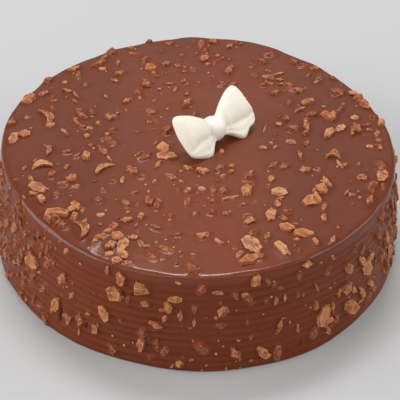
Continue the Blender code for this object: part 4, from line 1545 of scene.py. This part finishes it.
def take_shape(piece: Piece, rounds: int) -> UnitShape:
    """Reads a finished shape and removes its object.

    Args:
        piece: The object.
        rounds: How far round a vertex its neighbours are averaged, to tell edges from faces.

    Returns:
        The shape, with 1 at its sharpest edges and 0 on flat faces and in dents.
    """
    mesh = piece.data
    places = coordinates(mesh)
    normals = np.array([vertex.normal for vertex in mesh.vertices])
    ends = np.array([edge.vertices for edge in mesh.edges])
    links = np.bincount(ends.ravel(), minlength=len(places))[:, None]
    smooth = places.copy()
    for _ in range(rounds):
        total = np.zeros_like(smooth)
        np.add.at(total, ends[:, 0], smooth[ends[:, 1]])
        np.add.at(total, ends[:, 1], smooth[ends[:, 0]])
        smooth = total / links
    rise = np.einsum("ij,ij->i", places - smooth, normals)
    edge = np.clip(rise / max(np.percentile(rise, 96), 1e-9), 0, 1)
    faces = [tuple(face.vertices) for face in mesh.polygons]
    block = np.arange(len(places))
    for _ in range(len(places)):
        block[ends] = block[ends].min(1)[:, None]
    ways, breaks = [], []
    for face in mesh.polygons:
        own = block[face.vertices[0]]
        known = [number for number, (at, way) in enumerate(ways) if at == own and way.dot(face.normal) > 0.94]
        if not known:
            ways.append((own, face.normal.copy()))
        breaks.append(known[0] if known else len(ways) - 1)
    bpy.data.objects.remove(piece, do_unlink=True)
    return UnitShape(places, faces, edge, breaks)


@dataclass
class NutShapes:
    """Makes the chips' unit shapes, a few of each kind: fine ones for large chips, coarse ones for small."""

    block_reach: float = 0.6
    cut_reach: Span = (0.32, 0.48)
    bevel: float = 0.035
    cuts: int = 2
    fragment_size: Line = ((0.5, 0.7), (0.6, 0.85), (0.7, 0.95))
    fragment_turn: Span = (20, 75)
    fragment_shift: Line = ((0.16, 0.32), (-0.22, 0.22), (-0.12, 0.08))
    bend: float = 0.9
    pointed: Span = (0.6, 0.5)

    def build(self) -> tuple[dict[NutKind, list[UnitShape]], dict[NutKind, list[UnitShape]]]:
        """Makes every kind's shapes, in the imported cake's order of draws.

        Returns:
            The fine shapes and the coarse shapes, by kind.
        """
        rng, other = random.Random(SEED), random.Random(SEED + 7)
        fine, coarse = {}, {}
        for kind, recipe in RECIPES.items():
            fine[kind], coarse[kind] = [], []
            for _ in range(recipe.shapes):
                piece = self._curl() if kind is CURL else self._block(rng, recipe)
                select_only(piece)
                bpy.ops.object.duplicate()
                coarse[kind].append(take_shape(self._bevelled(bpy.context.active_object), 1))
                if kind is not CURL:
                    self._add_fragment(other, piece, recipe)
                fine[kind].append(take_shape(self._divided(piece), 2))
        return fine, coarse

    def _add_fragment(self, rng: random.Random, piece: Piece, recipe: Recipe) -> None:
        """Joins a smaller block to a block, turned and shifted, so that its outline is no longer convex.

        Args:
            rng: The source of the draws.
            piece: The block.
            recipe: How its kind is cut.
        """
        fragment = self._block(rng, recipe)
        size = Matrix.Diagonal((*(rng.uniform(*span) for span in self.fragment_size), 1))
        turn = Matrix.Rotation(rng.choice((-1, 1)) * math.radians(rng.uniform(*self.fragment_turn)), 4, "Z")
        way = rng.choice((-1, 1))
        along, across, up = (rng.uniform(*span) for span in self.fragment_shift)
        fragment.data.transform(Matrix.Translation((way * along, across, up)) @ turn @ size)
        select_only(fragment, piece)
        bpy.ops.object.join()

    def _block(self, rng: random.Random, recipe: Recipe) -> Piece:
        """A block, narrower on top, with slices cut off it.

        Args:
            rng: The source of the draws.
            recipe: How its kind is cut.

        Returns:
            The block.
        """
        select_only()
        bpy.ops.mesh.primitive_cone_add(
            vertices=recipe.sides, radius1=self.block_reach, radius2=self.block_reach * recipe.top, depth=1.0
        )
        piece = take_active("block")
        with edit_mode(piece):
            for _ in range(recipe.cuts):
                normal = Vector((rng.uniform(-1, 1), rng.uniform(-1, 1), rng.uniform(0.2, 0.9))).normalized()
                bpy.ops.mesh.select_all(action="SELECT")
                bpy.ops.mesh.bisect(
                    plane_co=normal * rng.uniform(*self.cut_reach), plane_no=normal,
                    use_fill=True, clear_outer=True, threshold=1e-5,
                )
        return piece

    def _curl(self) -> Piece:
        """A bent sliver with pointed ends, a third of a ring.

        Returns:
            The sliver.
        """
        select_only()
        bpy.ops.mesh.primitive_cube_add(size=1.0)
        piece = take_active("curl")
        with edit_mode(piece):
            shape = bmesh.from_edit_mesh(piece.data)
            for edge in shape.edges:
                edge.select = abs(edge.verts[0].co.x - edge.verts[1].co.x) > 0.5
            bpy.ops.mesh.subdivide(number_cuts=5)
        places = coordinates(piece.data)
        along = 2 * places[:, 0]
        thinner, lower = self.pointed
        places[:, 1] = places[:, 1] * (1 - thinner * along ** 2) + self.bend * (1 - along ** 2)
        places[:, 2] *= 1 - lower * along ** 2
        set_coordinates(piece.data, places)
        return piece

    def _bevelled(self, piece: Piece) -> Piece:
        """Gives a block narrow bevels, for a shape of a few dozen faces.

        Args:
            piece: The block.

        Returns:
            The same block.
        """
        with edit_mode(piece):
            bpy.ops.mesh.select_all(action="SELECT")
            bpy.ops.mesh.bevel(offset=self.bevel, segments=1, affect="EDGES", clamp_overlap=True)
        return piece

    def _divided(self, piece: Piece) -> Piece:
        """Divides a block's flat faces, fine enough to be dented.

        Args:
            piece: The block.

        Returns:
            The same block.
        """
        with edit_mode(piece):
            bpy.ops.mesh.select_all(action="SELECT")
            bpy.ops.mesh.poke()
            bpy.ops.mesh.subdivide(number_cuts=self.cuts)
        return piece


@dataclass
class ChoppedNuts:
    """Every chip as a mesh at its true size, one piece for each kind.

    Tones run from 0, toasted tan, to 1, the nut's dark skin. A coat or a film of 1 hides the nut.
    """

    chips: Sequence[Chip]
    fine: dict[NutKind, list[UnitShape]]
    coarse: dict[NutKind, list[UnitShape]]
    fine_from: float = 4.6 * MM
    sunk: float = NUT_SUNK
    film_depth: float = 0.8 * MM
    rough: float = 0.06 * MM
    bites: int = 2
    bite_reach: Span = (0.2, 0.4)
    bite_depth: Span = (0.02, 0.07)
    skin_share: float = 0.2
    roughest: float = 3.2 * MM
    lowest: float = 0.1 * MM
    glazed_share: float = 0.42
    side_glazed_share: float = 0.15
    far_glazed_share: float = 0.55
    far: float = CakeForm.rim_radius
    thin_glaze: Span = (0.0, 0.3)
    thick_glaze: Span = (0.4, 0.9)
    coat_spread: float = 0.35
    tone_spread: float = 0.26
    tone_share: float = 0.7
    reddest: float = 0.8
    film_at_glaze: float = 1.1
    drowned_film: float = 0.9
    film_most: float = 1.8
    edge_lost: float = 0.6
    side_tone: float = 0.2
    # How far up the nut the painted contact shade reaches, and how strong it is on top.
    contact_shade_height: float = 0.45 * MM
    top_contact_shade: float = 0.75
    grain_length: float = 6 * MM
    sharp_from: float = 34
    rng: random.Random = field(init=False)

    def build(self) -> list[Piece]:
        """Builds one piece for each kind.

        Returns:
            The pieces.
        """
        material = NutFinish().material()
        pieces = []
        for kind in NutKind:
            placed = [(index, chip) for index, chip in enumerate(self.chips) if chip.kind is kind]
            piece = self.piece(f"nut_{kind.value}s", placed)
            piece.data.materials.append(material)
            pieces.append(piece)
        return pieces

    def _bitten(self, unit: UnitShape) -> Array:
        """The shape with a few dents where crumbs broke off, which make its outline uneven.

        Args:
            unit: The unit shape.

        Returns:
            Its vertices.
        """
        places = unit.places.copy()
        for _ in range(self.bites):
            centre = places[self.rng.randrange(len(places))].copy()
            reach = self.rng.uniform(*self.bite_reach)
            near = np.linalg.norm(places - centre, axis=1) / reach
            depth = self.rng.uniform(*self.bite_depth) * np.clip(1 - near ** 2, 0, 1) ** 1.5
            places -= centre / (np.linalg.norm(centre) + 1e-6) * depth[:, None]
        return places

    def _laid(self, chip: Chip, unit: UnitShape) -> Array:
        """Lays a chip's shape on the cake, dented and roughened, and no lower than the underside.

        Args:
            chip: The chip.
            unit: Its unit shape.

        Returns:
            Its vertices.
        """
        matrix = np.array(chip_matrix(chip, self.sunk))
        places = self._bitten(unit) @ matrix[:3, :3].T + matrix[:3, 3]
        wave = 0.5 * min(chip.width, self.roughest)
        places += self.rough * np.column_stack([ripple(places, wave, SEED + 10 + axis) for axis in range(3)])
        places[:, 2] = np.maximum(places[:, 2], self.lowest)
        return places

    def _glazed(self, chip: Chip) -> float:
        """How much glaze a chip carries: little or much, which is commoner towards the back of the top.

        Args:
            chip: The chip.

        Returns:
            The glaze's thickness, as a share of what hides the nut.
        """
        share = self.side_glazed_share
        if chip.outward.z > 0.5:
            share = self.glazed_share + self.far_glazed_share * max(0.0, chip.place.y) / self.far
        return self.rng.uniform(*(self.thick_glaze if self.rng.random() < share else self.thin_glaze))

    def _break_looks(self, tone: float, glazed: float) -> Span:
        """How one broken face looks, which may be the nut's dark skin.

        Args:
            tone: The chip's tone.
            glazed: How much glaze the chip carries.

        Returns:
            The face's tone, and how thick its coat of glaze is.
        """
        coat = glazed + self.rng.uniform(-self.coat_spread, self.coat_spread)
        if self.rng.random() < self.skin_share:
            return 1.0, coat
        own = self.tone_share * tone + self.rng.gauss(0, self.tone_spread)
        return min(self.reddest, max(0.0, own)), coat

    def piece(self, name: str, placed: Sequence[tuple[int, Chip]]) -> Piece:
        """Joins the chips' copies into one mesh, with their tone, grain, edges, film and painted contact shade.

        Args:
            name: The piece's name.
            placed: The chips, each with its number on the cake.

        Returns:
            The piece.
        """
        self.rng = random.Random(f"{SEED} {name}")
        corners, faces = [], []
        looks = {"tone": [], "coat": [], "grain": [], "film": [], "edge": [], "contact_shade": []}
        first = 0
        for index, chip in placed:
            shapes = (self.fine if chip.length > self.fine_from else self.coarse)[chip.kind]
            unit = shapes[index % len(shapes)]
            places = self._laid(chip, unit)
            corners.append(places)
            faces += [tuple(first + corner for corner in face) for face in unit.faces]
            first += len(places)
            on_top = chip.outward.z > 0.5
            tone = self.rng.uniform(0.0 if on_top else self.side_tone, 1.0)
            glazed = self._glazed(chip)
            broken = np.array([self._break_looks(tone, glazed) for _ in range(max(unit.breaks) + 1)])
            looks["tone"].append(broken[unit.breaks, 0])
            looks["coat"].append(broken[unit.breaks, 1])
            shift = np.array([self.rng.uniform(0, 50) for _ in range(3)])
            looks["grain"].append(unit.places * (chip.length / self.grain_length) + shift)
            above = (places - np.array(chip.place)) @ np.array(chip.outward)
            film = np.maximum(self.drowned_film * chip.cover, self.film_at_glaze - above / self.film_depth)
            looks["film"].append(np.clip(film, 0, self.film_most))
            looks["edge"].append(unit.edge * (1 - self.edge_lost * chip.cover))
            # Painted contact shade at the foot of each nut: weaker on top, and none under glaze.
            shade = (self.top_contact_shade if on_top else 1.0) * (1 - chip.cover)
            looks["contact_shade"].append(np.clip(1 - above / self.contact_shade_height, 0, 1) * shade)
        mesh = bpy.data.meshes.new(name)
        mesh.from_pydata(np.vstack(corners).tolist(), [], faces)
        for look, values in looks.items():
            set_attribute(mesh, look, np.concatenate(values), "FACE" if look in ("tone", "coat") else "POINT")
        piece = add_object(name, mesh)
        soften(piece, self.sharp_from)
        return piece


@dataclass
class Crumbs:
    """The finest bits of nut, as one piece of small lumps."""

    chips: Sequence[Chip]
    sunk: float = 0.35
    film_depth: float = 0.3 * MM
    glazed_share: float = 0.6

    def build(self) -> Piece:
        """Builds the crumbs.

        Returns:
            The piece.
        """
        select_only()
        bpy.ops.mesh.primitive_ico_sphere_add(subdivisions=1, radius=0.55)
        shapes = {CHUNK: [take_shape(take_active("crumb"), 1)]}
        nuts = ChoppedNuts(
            self.chips, shapes, shapes,
            sunk=self.sunk, film_depth=self.film_depth, glazed_share=self.glazed_share,
        )
        piece = nuts.piece("nut_crumbs", list(enumerate(self.chips)))
        piece.data.materials.append(bpy.data.materials[NutFinish.name])
        return piece


# Bow


def between(points: Line, at: float) -> float:
    """Reads a line.

    Args:
        points: The line's points, in order of their first value.
        at: The first value to read it at.

    Returns:
        The second value there.
    """
    for (left, low), (right, high) in zip(points, points[1:]):
        if at <= right:
            return low + (high - low) * (at - left) / (right - left)
    return points[-1][1]


@dataclass(frozen=True)
class Wing:
    """A wing's outline and crease, in millimetres from the knot and up from the bow's middle.

    Its tip is as thick as its tip share of the whole, and it grows to full thickness along the tip length.
    """

    top: Line
    low: Line
    crease: Line
    tip_share: float
    tip_length: float

    @property
    def reach(self) -> float:
        """How far the wing's tip lies from the knot."""
        return self.top[-1][0]


LEFT_WING = Wing(
    (
        (0, 5.3), (3.6, 5.9), (7, 8.6), (11.5, 11.8), (16.4, 14.0), (19.5, 14.8), (21.4, 14.3),
        (22.7, 12.4), (23.3, 9.6), (23.4, 6.5),
    ),
    (
        (0, -5.2), (4.2, -5.8), (6.6, -8.2), (8.2, -11.2), (10.6, -12.8), (13.5, -11.8), (16.5, -10.4),
        (19, -9.2), (20.7, -8.2), (21.8, -6.2), (22.6, -2.6), (23.2, 1.0), (23.4, 3.0),
    ),
    ((0, -1.5), (7, -3.0), (12, -2.8), (15, -3.4), (19, -5.0), (23.4, -5.6)),
    0.0, 4.6,
)
RIGHT_WING = Wing(
    (
        (0, 5.3), (3.6, 5.9), (7, 9.2), (11.5, 12.4), (15.6, 14.6), (18.4, 15.4), (20.7, 15.6),
        (21.9, 13.6), (22.5, 11.0), (23.1, 7.4), (23.9, 3.4), (24.6, 0.0),
    ),
    (
        (0, -5.2), (4.2, -5.8), (7, -7.8), (9.2, -9.8), (11.7, -12.2), (13.8, -12.2),
        (15.9, -10.6), (18.0, -8.4), (20.6, -8.2), (22.8, -7.2), (24.0, -5.0), (24.6, -3.0),
    ),
    ((0, -1.5), (7, -2.6), (15, -2.9), (19, -3.2), (24.6, -1.6)),
    0.35, 3.25,
)


@dataclass
class Bow:
    """The moulded bow in its own frame: s along it, b up its leaning front, n out of its front.

    The lines above_crease, below_crease and back give, for a share of the way down, a share of the fullness.
    Sizes without MM are in millimetres. Shades are how strong the painted shade is in a crease, beside the knot
    and low on the left wing.
    """

    form: CakeForm
    turn: float = math.radians(44.8)
    lean: float = math.radians(47.7)
    centre: Vector = field(default_factory=lambda: Vector((*BOW_PLACE, 8.8)) * MM)
    knot_half: Vector = field(default_factory=lambda: Vector((6.0, 6.6, 7.6)) * MM)
    knot_place: Vector = field(default_factory=lambda: Vector((-0.7, 0, -2.8)) * MM)
    # The painted highlight fills the knot out to this share of its size, and fades over the next.
    knot_highlight_edge: float = 0.9
    knot_highlight_fade: float = 0.25
    wing_thick: float = 5.0
    wing_front: float = 2.6
    wing_edge: float = 1.1
    least_puff: float = 0.35
    puff_length: float = 12
    crease_level: float = 0.7
    crease_depth: float = 1.35
    crease_from: float = 4
    crease_rise: float = 7
    crease_least: float = 0.3
    above_crease: Line = ((0.0, -0.4), (0.05, 0.45), (0.3, 0.95), (0.62, 1.0), (0.88, 0.7))
    below_crease: Line = ((0.26, 0.64), (0.5, 0.36), (0.72, 0.5), (0.92, 0.25), (1.0, -0.4))
    back: Line = ((0.97, 0.6), (0.7, 1.0), (0.3, 1.0), (0.03, 0.6))
    stations: tuple[float, ...] = (
        0, 0.08, 0.16, 0.24, 0.3, 0.37, 0.44, 0.49, 0.55, 0.61, 0.67, 0.73, 0.79, 0.85, 0.9, 0.94, 0.97, 1,
    )
    crease_width: float = 1.1
    crease_shade: float = 0.4
    joint: float = 6.2
    joint_width: float = 1.3
    joint_shade: float = 0.5
    low_shade: float = 0.45
    set_in: float = 0.4 * MM
    voxel: float = 0.35 * MM

    def build(self) -> Piece:
        """Builds the wings and the knot as one soft piece, set a little into the glaze.

        Returns:
            The piece.
        """
        piece = self._wings()
        self._join_knot(piece)
        apply_modifier(piece, "even", "REMESH", mode="VOXEL", voxel_size=self.voxel)
        apply_modifier(piece, "round", "SMOOTH", factor=0.5, iterations=4)
        places = coordinates(piece.data)
        # Painted shade in the creases, beside the knot and low on the left wing.
        set_attribute(piece.data, "fold_shade", self._fold_shade(places))
        from_knot = np.linalg.norm((places - np.array(self.knot_place)) / np.array(self.knot_half), axis=1)
        # Painted highlight: the knot mark whitens the knot.
        set_attribute(piece.data, "knot", np.clip(1 - (from_knot - self.knot_highlight_edge) / self.knot_highlight_fade, 0, 1))
        piece.data.transform(self._matrix())
        self._cut_feet(piece)
        soften(piece, 60)
        piece.data.materials.clear()
        piece.data.materials.append(BowFinish().material())
        return piece

    def _matrix(self) -> Matrix:
        """Where the bow stands: turned, leaning back, over the glaze."""
        lean = Matrix.Rotation(self.turn, 4, "Z") @ Matrix.Rotation(self.lean, 4, "X")
        return Matrix.Translation(self.centre + Vector((0, 0, self.form.height))) @ lean

    def _ring(self, wing: Wing, s: float) -> list[Span]:
        """A wing's section at a distance from the knot, in millimetres.

        Args:
            wing: The wing.
            s: The distance from the knot.

        Returns:
            Points as b and n: the front from top to foot, then the back.
        """
        top = between(wing.top, s)
        low = between(wing.low, s)
        crease = between(wing.crease, s)
        closing = min(1.0, wing.tip_share + (1 - wing.tip_share) * (wing.reach - s) / wing.tip_length)
        puff = self.wing_front * closing * min(1.0, self.least_puff + s / self.puff_length)
        ring = [(top + (crease - top) * share, puff * rise) for share, rise in self.above_crease]
        opened = min(1.0, max(self.crease_least, (s - self.crease_from) / self.crease_rise))
        ring.append((crease, puff * self.crease_level - self.crease_depth * closing * opened))
        ring += [(crease + (low - crease) * share, puff * rise) for share, rise in self.below_crease]
        back = -self.wing_edge - (self.wing_thick - self.wing_edge) * closing
        return ring + [(top + (low - top) * share, back * rise) for share, rise in self.back]

    def _wings(self) -> Piece:
        """Makes both wings as one loft from tip to tip, smoothed by subdivision.

        Returns:
            The wings.
        """
        shape = bmesh.new()
        sections = [(LEFT_WING, -1, share) for share in reversed(self.stations[1:])]
        sections += [(RIGHT_WING, 1, share) for share in self.stations]
        rings = []
        for wing, way, share in sections:
            s = share * wing.reach
            rings.append([shape.verts.new(Vector((way * s, b, n)) * MM) for b, n in self._ring(wing, s)])
        count = len(rings[0])
        for near, far in zip(rings, rings[1:]):
            for i in range(count):
                shape.faces.new((near[i], far[i], far[(i + 1) % count], near[(i + 1) % count]))
        shape.faces.new(rings[0])
        shape.faces.new(list(reversed(rings[-1])))
        bmesh.ops.recalc_face_normals(shape, faces=shape.faces[:])
        mesh = bpy.data.meshes.new("bow")
        shape.to_mesh(mesh)
        shape.free()
        piece = add_object("bow_dressed", mesh)
        apply_modifier(piece, "soft", "SUBSURF", levels=2, render_levels=2)
        return piece

    def _join_knot(self, piece: Piece) -> None:
        """Joins the knot, a rounded lump with flattened sides, to the wings.

        Args:
            piece: The wings.
        """
        select_only()
        bpy.ops.mesh.primitive_uv_sphere_add(segments=48, ring_count=24, radius=1.0)
        knot = take_active("knot")
        knot.data.transform(Matrix.Translation(self.knot_place) @ Matrix.Diagonal((*self.knot_half, 1)))
        apply_modifier(piece, "knot", "BOOLEAN", operation="UNION", object=knot, solver="EXACT")
        bpy.data.objects.remove(knot, do_unlink=True)

    def _fold_shade(self, places: Array) -> Array:
        """How much painted shade each point gets: in the crease, beside the knot, and low on the left wing.

        Args:
            places: The points, in the bow's own frame.

        Returns:
            A painted shade from 0 to 1 for each.
        """
        s, b, n = (places / MM).T
        left, right = (np.interp(np.abs(s), *zip(*wing.crease)) for wing in (LEFT_WING, RIGHT_WING))
        crease = np.where(s < 0, left, right)
        in_crease = np.exp(-((b - crease) / self.crease_width) ** 2) * (n > -1)
        in_crease *= np.clip((np.abs(s) - 5) / 6, 0, 1)
        beside_knot = np.exp(-((np.abs(s) - self.joint) / self.joint_width) ** 2)
        below = self.low_shade * np.clip((crease - b) / 1.5, 0, 1) * (s < -5)
        return np.clip(self.crease_shade * in_crease + self.joint_shade * beside_knot + below, 0, 1)

    def _cut_feet(self, piece: Piece) -> None:
        """Cuts the bow flat just under the glaze that it is set in.

        Args:
            piece: The bow.
        """
        with edit_mode(piece):
            bpy.ops.mesh.select_all(action="SELECT")
            bpy.ops.mesh.bisect(
                plane_co=(0, 0, self.form.height - self.set_in), plane_no=(0, 0, -1),
                use_fill=True, clear_outer=True, threshold=1e-6,
            )

    def feet(self, piece: Piece) -> Array:
        """The points of the bow that lie just at the glaze."""
        places = coordinates(piece.data)
        return places[np.abs(places[:, 2] - self.form.height) < 0.35 * MM]


# Studio


@dataclass(frozen=True)
class Softbox:
    """A soft rectangular light that faces the cake."""

    name: str
    place: tuple[float, float, float]
    size: Span
    power: float
    colour: Colour = (1.0, 1.0, 1.0)

    def build(self, target: Vector) -> Piece:
        """Adds the light.

        Args:
            target: What it is turned towards.

        Returns:
            The light.
        """
        lamp = bpy.data.lights.new(self.name, "AREA")
        lamp.shape = "RECTANGLE"
        lamp.size, lamp.size_y = self.size
        lamp.energy = self.power
        lamp.color = self.colour
        light = add_object(self.name, lamp)
        light.location = self.place
        light.rotation_euler = (target - light.location).to_track_quat("-Z", "Y").to_euler()
        return light


@dataclass(frozen=True)
class Viewpoint:
    """The camera: how far it stands from the middle of the underside, and how it is turned."""

    lens: float = 117.0
    distance: float = 690.3 * MM
    elevation: float = math.radians(40.936)
    yaw: float = math.radians(0.112)
    pitch: float = math.radians(1.185)
    roll: float = math.radians(2.175)

    def build(self) -> Piece:
        """Adds the camera and makes it the scene's own.

        Returns:
            The camera.
        """
        place = Vector((0, -math.cos(self.elevation), math.sin(self.elevation))) * self.distance
        ahead = -place.normalized()
        right = Vector((1, 0, 0))
        up = right.cross(ahead)
        aim = ahead * math.cos(self.yaw) * math.cos(self.pitch)
        aim += right * math.sin(self.yaw) * math.cos(self.pitch) + up * math.sin(self.pitch)
        aim.normalize()
        level = aim.cross(Vector((0, 0, 1))).normalized()
        above = level.cross(aim)
        side = level * math.cos(self.roll) + above * math.sin(self.roll)
        head = above * math.cos(self.roll) - level * math.sin(self.roll)
        data = bpy.data.cameras.new("camera")
        data.lens = self.lens
        data.sensor_width = 36
        data.clip_start = 0.01
        camera = add_object("camera", data)
        camera.matrix_world = Matrix.Translation(place) @ Matrix((side, head, -aim)).transposed().to_4x4()
        bpy.context.scene.camera = camera
        return camera


@dataclass
class Studio:
    """A pale floor, a pale world and soft lights."""

    floor_colour: Colour = (0.50, 0.50, 0.50)
    world_colour: Colour = (1.0, 1.0, 1.0)
    world_strength: float = 0.27
    floor_half: float = 2.5
    boxes: tuple[Softbox, ...] = (
        Softbox("ceiling", (-0.08, 0.49, 1.18), (0.55, 0.2), 8.0),
        Softbox("front", (-0.15, -1.5, 1.35), (2.2, 1.4), 10.8),
        Softbox("left", (-1.5, -0.34, 0.70), (1.6, 1.2), 22.4),
        Softbox("right", (1.5, -0.1, 0.82), (1.6, 1.2), 13.5),
        Softbox("behind", (-0.10, 1.3, 0.93), (1.1, 0.64), 1.65),
    )

    def build(self, target: Vector) -> None:
        """Adds the floor, the world and the lights.

        Args:
            target: What the lights are turned towards.
        """
        select_only()
        bpy.ops.mesh.primitive_plane_add(size=2 * self.floor_half, location=(0, 0, 0))
        floor = take_active("floor")
        floor.data.materials.append(PlainFinish("floor", self.floor_colour).material())
        for box in self.boxes:
            box.build(target)
        world = bpy.data.worlds.new("studio")
        world.use_nodes = True
        background = world.node_tree.nodes["Background"]
        background.inputs["Color"].default_value = (*self.world_colour, 1.0)
        background.inputs["Strength"].default_value = self.world_strength
        bpy.context.scene.world = world
        bpy.context.scene.view_settings.view_transform = "Standard"


def report(piece: Piece) -> None:
    """Logs a finished piece."""
    piece.data.calc_loop_triangles()
    log.info("%s: %d triangles", piece.name, len(piece.data.loop_triangles))


def main() -> None:
    """Builds the camera, the glaze, the nuts, the bow and the studio, and hands each piece to the frame."""
    logging.basicConfig(level=logging.INFO, format="%(message)s")
    Viewpoint().build()
    form = CakeForm()
    for group in (glaze_colour_group, soft_lumps_group, nut_colour_group):
        group()

    bow = Bow(form)
    bow_piece = bow.build()
    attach(bow_piece, "root")
    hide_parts("bow")
    report(bow_piece)

    scatter = NutScatter(form)
    chips = scatter.lay()
    chips += scatter.lay_smaller(chips)
    glaze = Glaze(form, chips, bow.feet(bow_piece)).build()
    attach(glaze, "root")
    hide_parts("cake")
    report(glaze)

    nuts = ChoppedNuts(chips, *NutShapes().build()).build()
    nuts.append(Crumbs(scatter.crumbs(chips)).build())
    for piece in nuts:
        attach(piece, "root")
        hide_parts("cake")
        report(piece)

    Studio().build(Vector((0, 0, form.height / 2)))


if __name__ == "__main__":
    main()
